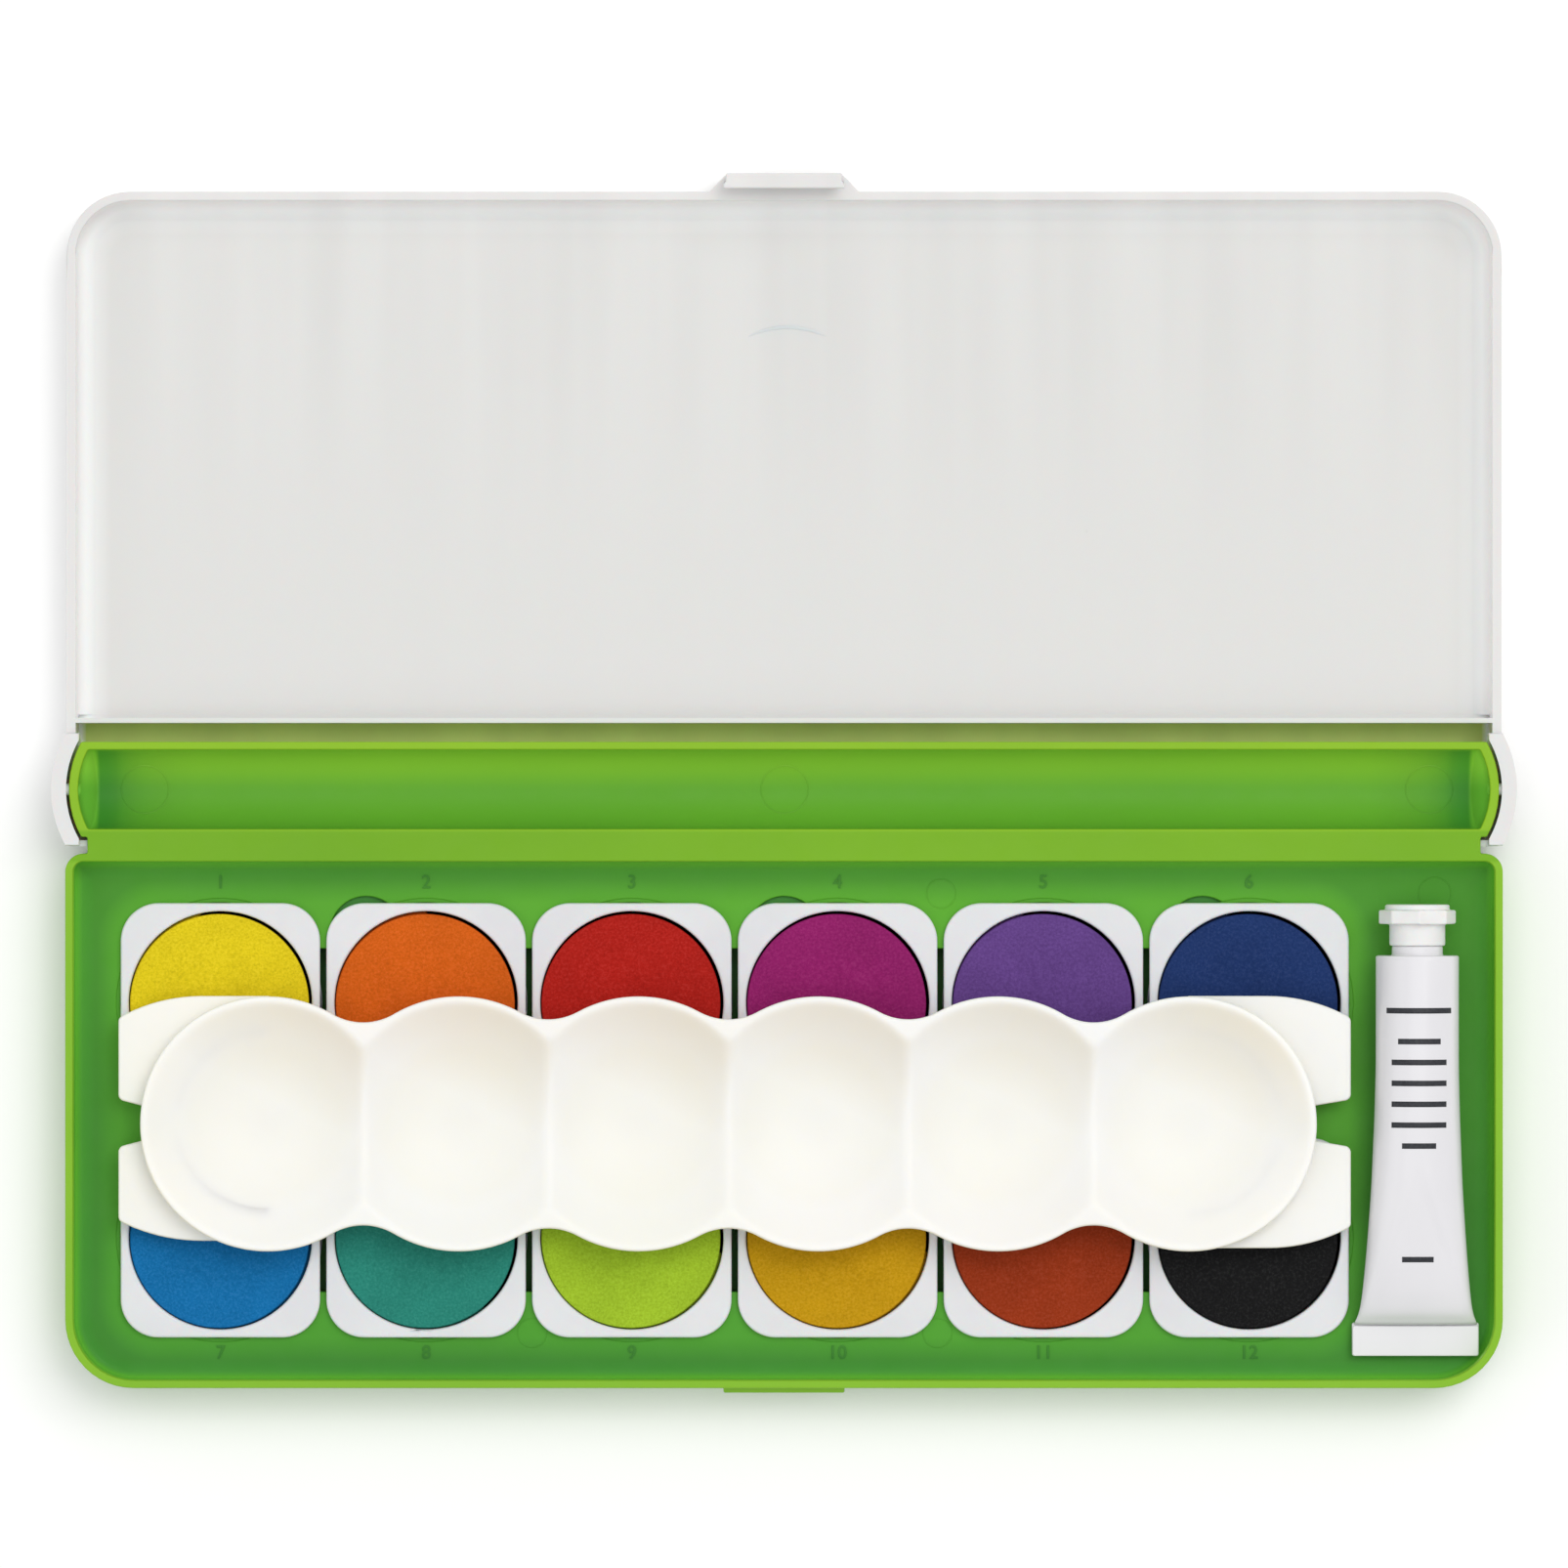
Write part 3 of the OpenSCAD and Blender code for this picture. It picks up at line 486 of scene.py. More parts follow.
def makePrintInk():
    material, tree, shader, where = startFinish("print ink", Roughness=0.5, IOR=1.45)
    wear = addNoise(tree, where, 2400, 3, 0.6)
    color = addRamp(tree, wear, [(0.35, linear(30, 32, 38)), (0.75, linear(52, 54, 60))])
    tree.links.new(color, shader.inputs["Base Color"])
    return material


greenPlastic = makeGreenPlastic("green plastic", (1, 1, 1, 1))
numberPlastic = makeGreenPlastic("green plastic of the numbers", (0.66, 0.74, 0.9, 1))
lidPlastic = makeLidPlastic()
palettePlastic = makePalettePlastic()
panPlastic = makePanPlastic()
tubeFilm = makeTubeFilm()
capPlastic = makeCapPlastic()
printInk = makePrintInk()
print("stage: finishes")


def addPiece(name, shape, body, material, replaced=(), smooth=True):
    mesh = bpy.data.meshes.new(name)
    shape.normal_update()
    for face in shape.faces:
        face.smooth = smooth
    shape.to_mesh(mesh)
    shape.free()
    mesh.materials.append(material)
    piece = bpy.data.objects.new(name, mesh)
    scene.collection.objects.link(piece)
    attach(piece, body)
    if replaced:
        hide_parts(*replaced)
    return piece


def sharpenEdges(shape, angle):
    for edge in shape.edges:
        edge.smooth = len(edge.link_faces) == 2 and edge.calc_face_angle(0) < math.radians(angle)


def softenedCopy(node, name, body, material, edgeRound, crowded=None):
    # the node's own shape, with its moulded edges rounded except where small faces crowd together
    shape = bmesh.new()
    shape.from_mesh(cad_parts[node].data)
    bmesh.ops.remove_doubles(shape, verts=shape.verts, dist=2e-6)
    bmesh.ops.dissolve_limit(shape, angle_limit=math.radians(0.5), verts=shape.verts, edges=shape.edges)
    sharpenEdges(shape, 24)
    weight = shape.edges.layers.float.new("bevel_weight_edge")
    for edge in shape.edges:
        crossed = len(edge.link_faces) == 2 and edge.calc_face_angle(0) > math.radians(34)
        if crossed and not (crowded and any(crowded(*(corner.co / mm)) for corner in edge.verts)):
            edge[weight] = 1
    piece = addPiece(name, shape, body, material, [node])
    bevel = piece.modifiers.new("moulded edges", "BEVEL")
    bevel.limit_method = "WEIGHT"
    bevel.width = edgeRound * mm
    bevel.segments = 3
    bevel.use_clamp_overlap = False
    bevel.miter_outer = "MITER_ARC"
    bevel.harden_normals = True


def joinRings(shape, rings):
    # faces between each ring of corners and the next
    faces = []
    for low, high in zip(rings, rings[1:]):
        for k in range(len(low)):
            after = (k + 1) % len(low)
            faces.append(shape.faces.new((low[k], low[after], high[after], high[k])))
    return faces


def addClosedRing(shape, profile, center, steps=96, lift=None):
    # a closed section, in millimetres of radius and height, turned once round Z
    rings = []
    for radius, height in profile:
        ring = []
        for k in range(steps):
            turn = 2 * math.pi * k / steps
            x = center[0] + radius * math.cos(turn)
            y = center[1] + radius * math.sin(turn)
            base = lift(x, y) if lift else center[2]
            ring.append(shape.verts.new((x * mm, y * mm, (base + height) * mm)))
        rings.append(ring)
    joinRings(shape, rings + rings[:1])


def smoothStep(value, low, high):
    share = min(1, max(0, (value - low) / (high - low)))
    return share * share * (3 - 2 * share)


trayLook = {
    "edgeRound": 0.28,
    "numberHeight": 3.128,
    "numberRaise": 0.14,
    "deckLevel": 7.2,
    "backNumbersY": -16.35,
    "frontNumbersY": -94.2,
    "deckRings": ((-41.7, -90.9, 2.4), (25.4, -90.9, 2.4), (26.0, -18.2, 2.4), (107.7, -18.2, 2.7)),
    "troughRings": (-105.9, 0.1, 106.9),
    "troughRingRadius": 3.9,
    "troughAxis": (-0.95, 11.3),
    "troughInside": 6.55,
}

softenedCopy("base_tray", "greenTray", "base", greenPlastic, trayLook["edgeRound"])


def makeDeckMarks():
    # ring marks of the mould's push-out pins, on the deck and on the trough's floor
    shape = bmesh.new()
    level = trayLook["deckLevel"]
    section = ((-0.16, -0.08), (-0.10, 0.045), (0.10, 0.045), (0.16, -0.08))
    for x, y, radius in trayLook["deckRings"]:
        addClosedRing(shape, [(radius + out, up) for out, up in section], (x, y, level), 64)
    axisY, axisZ = trayLook["troughAxis"]

    def troughFloor(x, y):
        return axisZ - math.sqrt(trayLook["troughInside"] ** 2 - (y - axisY) ** 2)
    for x in trayLook["troughRings"]:
        addClosedRing(shape, [(trayLook["troughRingRadius"] + out, up) for out, up in section],
                      (x, axisY, 0), 96, troughFloor)
    bmesh.ops.recalc_face_normals(shape, faces=shape.faces)
    addPiece("pinMarks", shape, "base", greenPlastic)


ledgeLook = {
    "well": (16.3, 17.3),      # low steps beside the cups: inner and outer radius
    "turn": 24,                # degrees to each side
    "wellTop": 7.06,
    "finger": (5.9, 69.2, 8.2, 4.8),    # radius, pitch, shift and way in from the pans' edge
    "fingerTop": 6.35,
    "thickness": 1.2,
}


def addLedge(shape, center, spans, top):
    # a closed step over a run of (angle, inner, outer)
    rings = []
    for angle, inner, outer in spans:
        ring = []
        for radius, height in ((inner, top), (outer, top), (outer, top - ledgeLook["thickness"]),
                               (inner, top - ledgeLook["thickness"])):
            place = (center[0] + radius * math.cos(angle), center[1] + radius * math.sin(angle), height)
            ring.append(shape.verts.new(Vector(place) * mm))
        rings.append(ring)
    joinRings(shape, rings)
    shape.faces.new(rings[0])
    shape.faces.new(rings[-1][::-1])


def makeWellLedges():
    look = ledgeLook
    shape = bmesh.new()
    inner, outer = look["well"]
    radius, pitch, shift, wayIn = look["finger"]
    fingers = [((pansLow.x + pansHigh.x) / 2 + shift + k * pitch, pansHigh.y - wayIn) for k in (-1, 0, 1)]
    for node in panNodes:
        middle = nodeMiddle(node) / mm
        low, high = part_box(node)
        sides = [90 if high[1] / mm > pansHigh.y - 1 else 270]
        if low[0] / mm < pansLow.x + 1:
            sides.append(180)
        if high[0] / mm > pansHigh.x - 1:
            sides.append(0)
        for side in sides:
            turns = [math.radians(side - look["turn"] + 2 * look["turn"] * k / 24) for k in range(25)]
            addLedge(shape, middle, [(turn, inner, outer) for turn in turns], look["wellTop"])
        for x, y in fingers:
            away = math.hypot(x - middle.x, y - middle.y)
            if away > inner + 1:
                continue
            toFinger = math.atan2(y - middle.y, x - middle.x)
            widest = math.asin(radius / away)
            spans = []
            for k in range(1, 48):
                turn = widest * (k / 24 - 1)
                along, aside = away * math.cos(turn), away * math.sin(turn)
                reach = math.sqrt(max(radius ** 2 - aside ** 2, 0))
                if along + reach > inner + 0.05:
                    spans.append((toFinger + turn, max(inner, along - reach), along + reach))
            addLedge(shape, middle, spans, look["fingerTop"])
    bmesh.ops.recalc_face_normals(shape, faces=shape.faces)
    addPiece("wellLedges", shape, "base", greenPlastic, smooth=False)


def makeDeckNumbers():
    # a plain number raised on the deck beside each pan
    shape = bmesh.new()
    for index, name in enumerate(paintColors):
        middle = nodeMiddle("pan_" + name)
        back = index < 6
        writing = bpy.data.curves.new("deckNumber", "FONT")
        writing.body = str(index + 1)
        writing.size = trayLook["numberHeight"] * mm
        writing.extrude = trayLook["numberRaise"] * mm
        writing.bevel_depth = 0.03 * mm
        writing.resolution_u = 6
        writing.align_x = "CENTER"
        writing.align_y = "CENTER"
        holder = bpy.data.objects.new("deckNumber", writing)
        scene.collection.objects.link(holder)
        bpy.context.view_layer.update()
        flat = bpy.data.meshes.new_from_object(holder.evaluated_get(bpy.context.evaluated_depsgraph_get()))
        level = trayLook["backNumbersY"] if back else trayLook["frontNumbersY"]
        flat.transform(Matrix.Translation((middle.x, level * mm, trayLook["deckLevel"] * mm)))
        shape.from_mesh(flat)
        bpy.data.objects.remove(holder)
        bpy.data.curves.remove(writing)
        bpy.data.meshes.remove(flat)
    addPiece("deckNumbers", shape, "base", numberPlastic, smooth=False)


paintColors = {
    "yellow": (226, 203, 29),
    "orange": (212, 97, 25),
    "vermilion": (177, 34, 27),
    "magenta": (146, 34, 104),
    "violet": (101, 68, 137),
    "ultramarine": (34, 56, 107),
    "cyan_blue": (22, 111, 171),
    "blue_green": (44, 134, 119),
    "yellow_green": (160, 193, 46),
    "ochre": (195, 149, 19),
    "burnt_sienna": (152, 55, 25),
    "black": (27, 27, 28),
}

makeDeckMarks()
makeDeckNumbers()
makeWellLedges()
print("stage: green tray")


def nearEars(x, y, z):
    return abs(x) > 112 and -16 < y < 16


softenedCopy("lid", "whiteLid", "lid", lidPlastic, lidLook["edgeRound"], nearEars)


def makeGateMark():
    # a faint crescent pressed up in the middle of the lid's panel
    shape = bmesh.new()
    x0, y0, radius, halfAngle = lidLook["gateMark"]
    steps = 48
    level = lidLook["panelLevel"]
    rows = []
    for k in range(steps + 1):
        share = 2 * k / steps - 1
        turn = math.radians(90 + halfAngle * share)
        thick = 0.42 * math.sqrt(max(0.02, 1 - share * share))
        rise = 0.05 * (1 - share * share) + 0.004
        row = []
        for out, up in ((-1, -0.06), (-0.6, rise), (0.6, rise), (1, -0.06)):
            reach = radius + out * thick
            row.append(shape.verts.new((
                (x0 + reach * math.cos(turn)) * mm,
                (y0 - radius + reach * math.sin(turn)) * mm,
                (level + up) * mm)))
        rows.append(row)
    joinRings(shape, rows)
    shape.faces.new(rows[0])
    shape.faces.new(list(reversed(rows[-1])))
    bmesh.ops.recalc_face_normals(shape, faces=shape.faces)
    addPiece("gateMark", shape, "lid", lidPlastic)


makeGateMark()
print("stage: lid")


panLook = {"edgeRound": 0.42}

tabletLook = {
    "radius": 14.82,
    "shift": (-0.17, -0.14),
    "stainAndShadeRadius": 15.06,      # dried paint and painted shade in the gap round the tablet
    "stainAndShadeTop": 6.9,
    "low": 3.3,
    "edgeTop": 7.9,
    "dish": 0.3,
    "groovePlace": 13.75,
    "grooveWidth": 0.45,
    "grooveDepth": 0.10,
    "edgeRound": 0.32,
    "roughness": 0.035,
    "rings": 46,
    "steps": 144,
}


def tabletHeight(radius, x, y, seed):
    # the pressed face: dished towards the middle, with a shallow ring and powdery unevenness
    look = tabletLook
    height = look["edgeTop"] - look["dish"] * (1 - smoothStep(radius, 6.0, look["groovePlace"] + 0.6))
    off = (radius - look["groovePlace"]) / look["grooveWidth"]
    height -= look["grooveDepth"] * math.exp(-off * off)
    fine = (noise.noise(Vector((x * 1.7, y * 1.7, seed)))
            + 0.6 * noise.noise(Vector((x * 3.9, y * 3.9, seed + 9))))
    broad = noise.noise(Vector((x * 0.16, y * 0.16, seed + 30)))
    return height + look["roughness"] * fine + 0.06 * broad


def makeTablet(name, color, seed):
    look = tabletLook
    middle = nodeMiddle("paint_" + name) / mm
    shape = bmesh.new()
    steps = look["steps"]
    shiftX, shiftY = look["shift"]
    inner = look["radius"] - look["edgeRound"]
    face = []
    radii = [inner * (k / look["rings"]) for k in range(look["rings"], 0, -1)]
    rounded = []
    for k in range(4):
        turn = math.radians(22.5 * k)
        rounded.append((inner + look["edgeRound"] * math.cos(turn), look["edgeRound"] * (math.sin(turn) - 1)))
    outline = [(look["radius"] - 0.3, None, look["low"]), (look["radius"], None, look["stainAndShadeTop"] - 0.2)]
    outline += [(radius, down, None) for radius, down in rounded]
    outline += [(radius, 0.0, None) for radius in radii]
    for radius, down, fixed in outline:
        ring = []
        for k in range(steps):
            turn = 2 * math.pi * k / steps
            x, y = radius * math.cos(turn), radius * math.sin(turn)
            height = fixed if fixed is not None else tabletHeight(min(radius, inner), x, y, seed) + down
            ring.append(shape.verts.new((
                (middle.x + x + shiftX) * mm, (middle.y + y + shiftY) * mm, height * mm)))
        face.append(ring)
    joinRings(shape, face)
    centerX, centerY = (middle.x + shiftX) * mm, (middle.y + shiftY) * mm
    tip = shape.verts.new((centerX, centerY, tabletHeight(0, 0, 0, seed) * mm))
    foot = shape.verts.new((centerX, centerY, look["low"] * mm))
    for k in range(steps):
        after = (k + 1) % steps
        shape.faces.new((face[-1][k], face[-1][after], tip))
        shape.faces.new((face[0][after], face[0][k], foot))
    # the stain and painted shade: a low ring between the tablet and the cup
    addClosedRing(shape, [(look["stainAndShadeRadius"], look["low"]), (look["stainAndShadeRadius"], look["stainAndShadeTop"]),
                          (look["radius"] - 0.5, look["stainAndShadeTop"]), (look["radius"] - 0.5, look["low"])],
                  (middle.x, middle.y, 0), steps)
    bmesh.ops.recalc_face_normals(shape, faces=shape.faces)
    addPiece("tablet_" + name, shape, "pan_" + name,
             makePaint(name, color), ["paint_" + name])


for seed, (name, color) in enumerate(paintColors.items()):
    softenedCopy("pan_" + name, "cup_" + name, "pan_" + name, panPlastic, panLook["edgeRound"])
    makeTablet(name, color, seed * 7.3)
print("stage: pans and tablets")


paletteLook = {
    "bowlRadius": 21.0,
    "pitch": 29.64,
    "endOut": 1.8,
    "shift": -1.0,
    "valley": 10.0,
    "low": 9.25,
    "rim": 16.45,
    "lip": 1.0,
    "wall": 1.2,
    "dish": 2.15,          # how round the bowls are: 2 is a plain dish, more is flatter with steeper sides
    "ridge": 3.2,          # higher gives sharper ridges between the bowls
    "lipSoftness": 5.0,
    "topRound": 0.45,
    "underRound": 0.3,
    "rows": 96,
    "tabTop": 12.6,
    "tabCurve": 28.0,
    "tabDrop": 3.6,
    "notchMouth": 3.9,
    "notchRoot": 2.9,
    "tabRoot": 15.2,       # radius under the bowl at which the tab starts
    "cornerRound": 1.1,
    "frontShort": {-1: 0.924, 1: 0.982},   # how much narrower the front half of each end tab is
}

paletteBox = [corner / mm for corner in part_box("palette")]
paletteMiddle = (paletteBox[0] + paletteBox[1]) / 2
paletteEnd = (paletteBox[1].x - paletteBox[0].x) / 2
bowlCenters = [
    (i - 2.5) * paletteLook["pitch"] + paletteLook["shift"]
    + (-paletteLook["endOut"] if i == 0 else paletteLook["endOut"] if i == 5 else 0) for i in range(6)]


def valleyBetween(i):
    # middle, half pitch and height of the centre of the soft valley after bowl i
    look = paletteLook
    half = (bowlCenters[i + 1] - bowlCenters[i]) / 2
    return (bowlCenters[i + 1] + bowlCenters[i]) / 2, half, \
        math.sqrt((look["bowlRadius"] + look["valley"]) ** 2 - half * half)


def bowlsHalfWidth(x):
    look = paletteLook
    widest = 0
    for center in bowlCenters:
        if abs(x - center) < look["bowlRadius"]:
            widest = max(widest, math.sqrt(look["bowlRadius"] ** 2 - (x - center) ** 2))
    for i in range(5):
        middle, half, reachY = valleyBetween(i)
        if abs(x - middle) < half * look["valley"] / (look["bowlRadius"] + look["valley"]):
            widest = max(widest, reachY - math.sqrt(look["valley"] ** 2 - (x - middle) ** 2))
    return widest


def bowlsEdgeDistance(x, y):
    look = paletteLook
    for i in range(5):
        middle, half, reachY = valleyBetween(i)
        if abs(x - middle) < (reachY - abs(y)) * half / reachY:
            return math.hypot(x - middle, reachY - abs(y)) - look["valley"]
    return look["bowlRadius"] - min(math.hypot(x - center, y) for center in bowlCenters)


def bowlsHeight(x, y):
    # bowls melt into one another with soft ridges, and into the flat lip
    look = paletteLook
    inside = look["bowlRadius"] - look["lip"]
    depth = look["rim"] - look["low"]
    total = 0
    for center in bowlCenters:
        height = depth * (math.hypot(x - center, y) / inside) ** look["dish"]
        if height < depth + 4:
            total += math.exp(-look["ridge"] * height)
    height = -math.log(total) / look["ridge"] if total else depth + 4
    k = look["lipSoftness"]
    height = -math.log(math.exp(-k * height) + math.exp(-k * depth)) / k
    return look["low"] + height


def roundOff(distance, radius):
    gap = max(0, radius - distance)
    return radius - math.sqrt(max(0, radius * radius - gap * gap))


def tabOutline(side, half):
    # half of an end tab, on the side of positive y, as a list of points with their corner radii
    look = paletteLook
    bowl = bowlCenters[5] if side > 0 else -bowlCenters[0]
    root = look["tabRoot"]
    start = math.asin(look["notchRoot"] / root)
    points = [(bowl + root * math.cos(a), root * math.sin(a), 0)
              for a in [start + (math.pi / 2 - start) * k / 14 for k in range(15)]]
    points.append((bowl, look["bowlRadius"], 0))
    arcX = paletteEnd - math.sqrt(look["tabCurve"] ** 2 - (look["tabCurve"] - look["tabDrop"]) ** 2)
    arcY = look["bowlRadius"] - look["tabCurve"]
    last = math.asin((paletteEnd - arcX) / look["tabCurve"])
    curve = look["tabCurve"]
    for k in range(10):
        turn = last * k / 10
        points.append((arcX + curve * math.sin(turn), arcY + curve * math.cos(turn), 0))
    points.append((paletteEnd, look["bowlRadius"] - look["tabDrop"], look["cornerRound"]))
    points.append((paletteEnd, look["notchMouth"], look["cornerRound"]))
    points.append((bowl + look["bowlRadius"], look["notchRoot"], 0))
    if half < 0:
        short = look["frontShort"][side]
        points = [(x, y * (short if y > look["notchMouth"] + 2 else 1), corner) for x, y, corner in points]
    return points


def roundedOutline(points):
    # the outline with each corner that has a radius replaced by an arc
    result = []
    for k, (x, y, radius) in enumerate(points):
        here = Vector((x, y))
        if not radius:
            result.append(here)
            continue
        before = (Vector(points[k - 1][:2]) - here).normalized()
        after = (Vector(points[(k + 1) % len(points)][:2]) - here).normalized()
        half = math.acos(max(-1, min(1, before.dot(after)))) / 2
        middle = here + (before + after).normalized() * radius / math.sin(half)
        first = here + before * radius / math.tan(half)
        final = here + after * radius / math.tan(half)
        for step in range(7):
            share = step / 6
            spoke = (first - middle).lerp(final - middle, share).normalized() * radius
            result.append(middle + spoke)
    return result


def insetOutline(points, distance):
    moved = []
    for k, here in enumerate(points):
        before = here - points[k - 1]
        after = points[(k + 1) % len(points)] - here
        along = before.normalized() + after.normalized()
        normal = Vector((-along.y, along.x))
        normal.normalize()
        lean = max(0.45, normal.dot(Vector((-before.y, before.x)).normalized()))
        moved.append(here + normal * distance / lean)
    return moved


def makePalette():
    look = paletteLook
    shape = bmesh.new()
    first, last = bowlCenters[0], bowlCenters[5]
    radius = look["bowlRadius"]
    endSteps = 44
    xs = [first - radius * math.cos(math.pi / 2 * k / endSteps) for k in range(endSteps)]
    middleSteps = round((last - first) / 0.75)
    xs += [first + (last - first) * k / middleSteps for k in range(middleSteps)]
    xs += [last + radius * math.sin(math.pi / 2 * k / endSteps) for k in range(endSteps + 1)]
    rows = look["rows"]

    def place(x, y, z):
        return ((paletteMiddle.x + x) * mm, (paletteMiddle.y + y) * mm, z * mm)
    top, under = [], []
    for x in xs:
        half = bowlsHalfWidth(x)
        count = 0 if half < 1e-4 else rows
        above, below = [], []
        for k in range(count + 1):
            y = half * math.sin(math.pi / 2 * (2 * k / count - 1)) if count else 0
            distance = max(0, bowlsEdgeDistance(x, y))
            height = bowlsHeight(x, y)
            above.append(shape.verts.new(place(x, y, height - roundOff(distance, look["topRound"]))))
            low = max(paletteBox[0].z, height - look["wall"]) + roundOff(distance, look["underRound"])
            below.append(shape.verts.new(place(x, y, low)))
        top.append(above)
        under.append(below)
    for grid in (top, under):
        for a, b in zip(grid, grid[1:]):
            if len(a) == 1 or len(b) == 1:
                tip, row = (a[0], b) if len(a) == 1 else (b[0], a)
                for k in range(rows):
                    shape.faces.new((tip, row[k], row[k + 1]))
                continue
            for k in range(rows):
                shape.faces.new((a[k], b[k], b[k + 1], a[k + 1]))
    for a, b, c, d in zip(top, top[1:], under, under[1:]):
        for end in (0, -1):
            shape.faces.new((a[end], b[end], d[end], c[end]))
    bmesh.ops.recalc_face_normals(shape, faces=shape.faces)
    for side in (-1, 1):
        for half in (-1, 1):
            outline = roundedOutline(tabOutline(side, half))
            outline = [Vector((p.x * side, p.y * half)) for p in outline]
            area = sum(a.cross(b) for a, b in zip(outline, outline[1:] + outline[:1]))
            if area < 0:
                outline.reverse()
            levels = [(0.34, look["tabTop"]), (0.10, look["tabTop"] - 0.10), (0, look["tabTop"] - 0.34),
                      (0, look["tabTop"] - look["wall"] + 0.25), (0.25, look["tabTop"] - look["wall"])]
            rings = []
            for inset, level in levels:
                flat = insetOutline(outline, inset) if inset else outline
                rings.append([shape.verts.new(place(p.x, p.y, level)) for p in flat])
            newFaces = [shape.faces.new(rings[0]), shape.faces.new(list(reversed(rings[-1])))]
            newFaces += joinRings(shape, rings[::-1])
            bmesh.ops.recalc_face_normals(shape, faces=newFaces)
    piece = addPiece("bowlPalette", shape, "palette", palettePlastic, ["palette"])
    weighted = piece.modifiers.new("flat tab faces", "WEIGHTED_NORMAL")
    weighted.weight = 80
    weighted.keep_sharp = True


makePalette()
print("stage: mixing palette")


tubeLook = {
    # share of the sleeve's length, and its width there in millimetres
    "widths": ((0, 13.7), (0.28, 13.7), (0.37, 13.9), (0.45, 14.2), (0.53, 14.6), (0.61, 15.0), (0.69, 15.6),
               (0.77, 16.3), (0.85, 17.1), (0.93, 18.1), (0.97, 19.0), (1.0, 20.4)),
    "roundWidth": 13.7,       # across the sleeve where it is still round
    "overShoulder": 0.72,     # the film's round end covers most of the shoulder's edge
    "foldLength": 5.5,
    "foldThickness": 1.25,
    "foldLift": 0.85,
    "creaseDepth": 0.42,
    "dentDepth": 0.12,
    "rings": 110,
    "steps": 120,
    # distance from the shoulder and width of the plain printed rules, in millimetres
    "rules": ((8.6, 10.6), (13.6, 7.0), (17.0, 9.0), (20.4, 9.0), (23.8, 9.0), (27.2, 9.0),
              (30.6, 5.6), (49.2, 5.2)),
    "ruleHeight": 0.9,
}

sleeveBox = [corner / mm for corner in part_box("tube_sleeve")]
tubeX = (sleeveBox[0].x + sleeveBox[1].x) / 2
sleeveStart = sleeveBox[1].y
sleeveEnd = sleeveBox[0].y
sleeveRun = sleeveStart - sleeveEnd - tubeLook["foldLength"] + 0.25
tubeRound = math.pi * tubeLook["roundWidth"]


def sleeveWidth(share):
    table = tubeLook["widths"]
    for k, ((t0, w0), (t1, w1)) in enumerate(zip(table, table[1:])):
        if share <= t1 or k == len(table) - 2:
            before = table[max(0, k - 1)]
            after = table[min(len(table) - 1, k + 2)]
            s = min(1, max(0, (share - t0) / (t1 - t0)))
            m0 = (w1 - before[1]) / max(1e-6, t1 - before[0]) * (t1 - t0)
            m1 = (after[1] - w0) / max(1e-6, after[0] - t0) * (t1 - t0)
            return ((2 * s ** 3 - 3 * s ** 2 + 1) * w0 + (s ** 3 - 2 * s ** 2 + s) * m0
                    + (-2 * s ** 3 + 3 * s ** 2) * w1 + (s ** 3 - s ** 2) * m1)


def sleevePoint(share, turn, out=0.0):
    # a point on the sleeve: share runs from the shoulder to the fold, turn goes round from +X over the top
    look = tubeLook
    width = min(sleeveWidth(share), 20.6)
    height = max(1.0, (tubeRound - 2 * width) / (math.pi - 2))
    flat = smoothStep(share, 0.3, 1.0)
    power = 2 / (2 + 0.5 * flat)
    c, s = math.cos(turn), math.sin(turn)
    x = math.copysign(abs(c) ** power, c) * width / 2
    z = math.copysign(abs(s) ** power, s) * height / 2
    bottom = trayLook["deckLevel"] + look["foldLift"] * smoothStep(share, 0.45, 1.0)
    y = look["overShoulder"] - share * (sleeveRun + look["overShoulder"])
    if s > 0:
        crease = width / 2 * smoothStep(share, 0.42, 1.04)
        within = smoothStep(crease - abs(x), -0.5, 1.5)
        strength = smoothStep(share, 0.5, 0.75) * (1 - smoothStep(share, 0.93, 1.0))
        z -= look["creaseDepth"] * within * strength * s
    dent = noise.noise(Vector((x * 0.13, y * 0.10, 4.0 if s > 0 else 11.0)))
    fade = smoothStep(share, 0.05, 0.3) * (1 - smoothStep(share, 0.9, 1.0))
    z += look["dentDepth"] * dent * fade * s
    z = min(z, height / 2, sleeveBox[1].z - 0.02 - bottom - height / 2)
    return Vector((tubeX + x + out * c, sleeveStart + y, bottom + height / 2 + z + out * s)) * mm


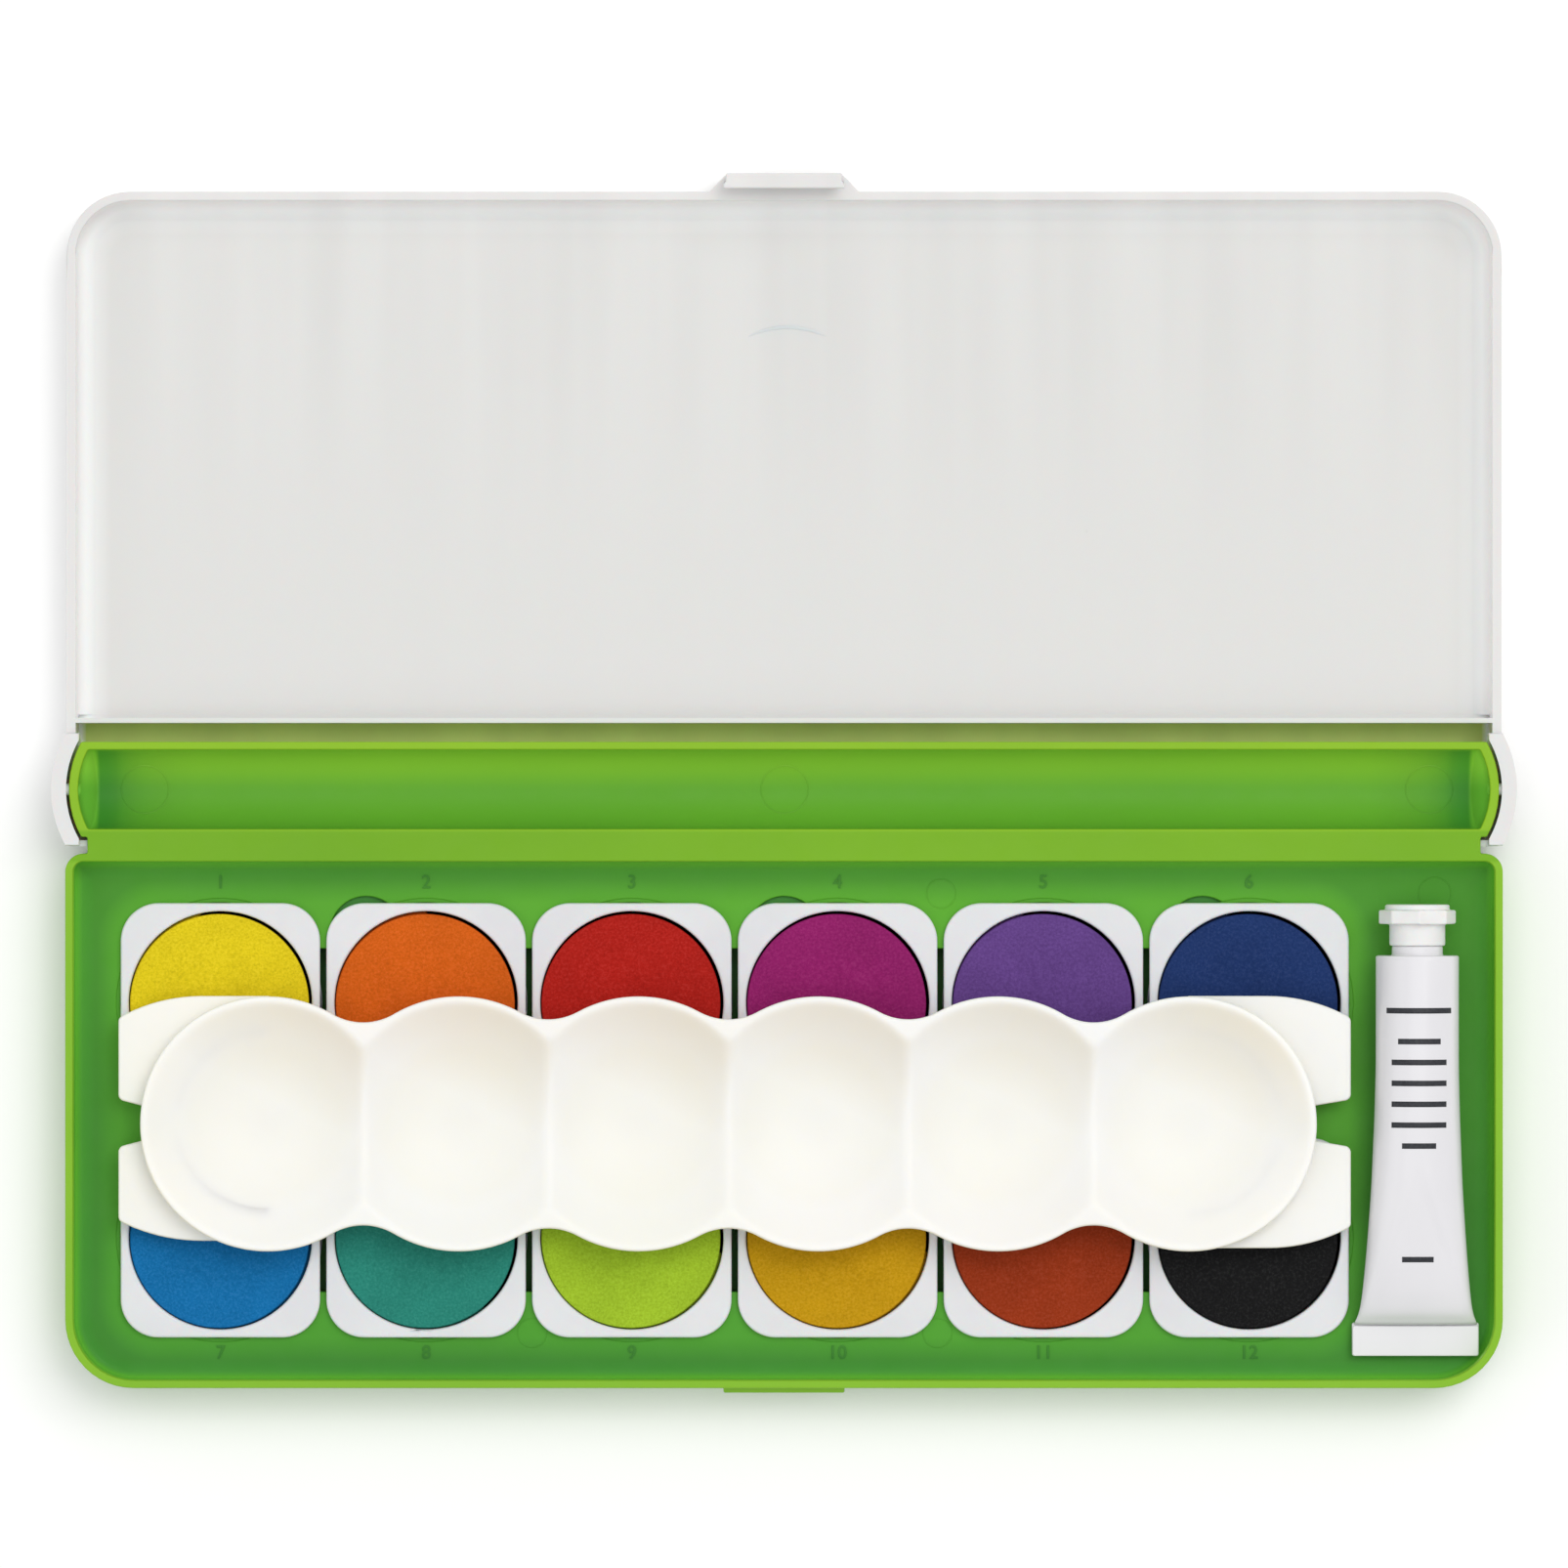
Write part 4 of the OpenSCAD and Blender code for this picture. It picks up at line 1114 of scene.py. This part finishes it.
def makeSleeve():
    look = tubeLook
    shape = bmesh.new()
    steps = look["steps"]
    rings = []
    lipRound = 0.18
    turns = [2 * math.pi * k / steps for k in range(steps)]
    lip = ((lipRound, 0.0), (lipRound * 0.3, lipRound * 0.3 / sleeveRun), (0, lipRound / sleeveRun))
    for inset, share in lip:
        rings.append([shape.verts.new(sleevePoint(share, turn, -inset)) for turn in turns])
    for r in range(1, look["rings"] + 1):
        share = r / look["rings"]
        rings.append([shape.verts.new(sleevePoint(share, turn)) for turn in turns])
    joinRings(shape, rings)
    shape.faces.new(rings[0])
    shape.faces.new(list(reversed(rings[-1])))
    # the folded end: a flat band, turned over once, with soft edges
    halfW = (sleeveBox[1].x - sleeveBox[0].x) / 2
    low = trayLook["deckLevel"] + look["foldLift"]
    thick = look["foldThickness"]
    layers = ((0.0, 0.0, thick * 0.55), (0.12, thick * 0.5, thick))
    for pull, z0, z1 in layers:
        y1 = sleeveEnd + look["foldLength"] - pull * 4
        corners = [(-halfW + pull * 0.4, sleeveEnd), (halfW - pull * 0.4, sleeveEnd),
                   (halfW - pull * 0.4, y1), (-halfW + pull * 0.4, y1)]
        outline = roundedOutline([(x, y, 0.35) for x, y in corners])
        levels = ((0.22, z1), (0.06, z1 - 0.07), (0, z1 - 0.2),
                  (0, z0 + 0.2), (0.06, z0 + 0.07), (0.22, z0))
        bands = []
        for inset, z in levels:
            flat = insetOutline(outline, inset) if inset else outline
            bands.append([shape.verts.new(Vector((tubeX + p.x, p.y, low + z)) * mm) for p in flat])
        shape.faces.new(bands[0])
        shape.faces.new(list(reversed(bands[-1])))
        joinRings(shape, bands[::-1])
    bmesh.ops.recalc_face_normals(shape, faces=shape.faces)
    piece = addPiece("tubeSleeve", shape, "tube", tubeFilm, ["tube_sleeve"])
    weighted = piece.modifiers.new("flat fold", "WEIGHTED_NORMAL")
    weighted.keep_sharp = True


def makeRules():
    # short plain rules printed across the tube, each a thin film that follows the sleeve
    look = tubeLook
    shape = bmesh.new()
    for distance, width in look["rules"]:
        grid = []
        for j in range(5):
            share = (distance + look["ruleHeight"] * (j / 4 - 0.5)) / sleeveRun
            halfWidth = sleeveWidth(share) / 2
            row = []
            for k in range(33):
                x = width * (k / 32 - 0.5)
                flat = smoothStep(share, 0.3, 1.0)
                c = x / halfWidth
                c = math.copysign(abs(c) ** ((2 + 0.5 * flat) / 2), c)
                row.append(math.acos(max(-1, min(1, c))))
            grid.append((share, row))
        films = []
        for out in (0.022, -0.03):
            films.append([[shape.verts.new(sleevePoint(share, turn, out)) for turn in row]
                          for share, row in grid])
        for film in films:
            for a, b in zip(film, film[1:]):
                for k in range(32):
                    shape.faces.new((a[k], a[k + 1], b[k + 1], b[k]))
        up, down = films
        border = [(0, k) for k in range(32)] + [(j, 32) for j in range(4)] \
            + [(4, k) for k in range(32, 0, -1)] + [(j, 0) for j in range(4, 0, -1)]
        for (j, k), (m, n) in zip(border, border[1:] + border[:1]):
            shape.faces.new((up[j][k], up[m][n], down[m][n], down[j][k]))
    bmesh.ops.recalc_face_normals(shape, faces=shape.faces)
    addPiece("printedRules", shape, "tube", printInk)


makeSleeve()
makeRules()
softenedCopy("tube_shoulder", "tubeShoulder", "tube", tubeFilm, 0.3)
softenedCopy("tube_cap", "tubeCap", "cap", capPlastic, 0.32)
print("stage: paint tube")
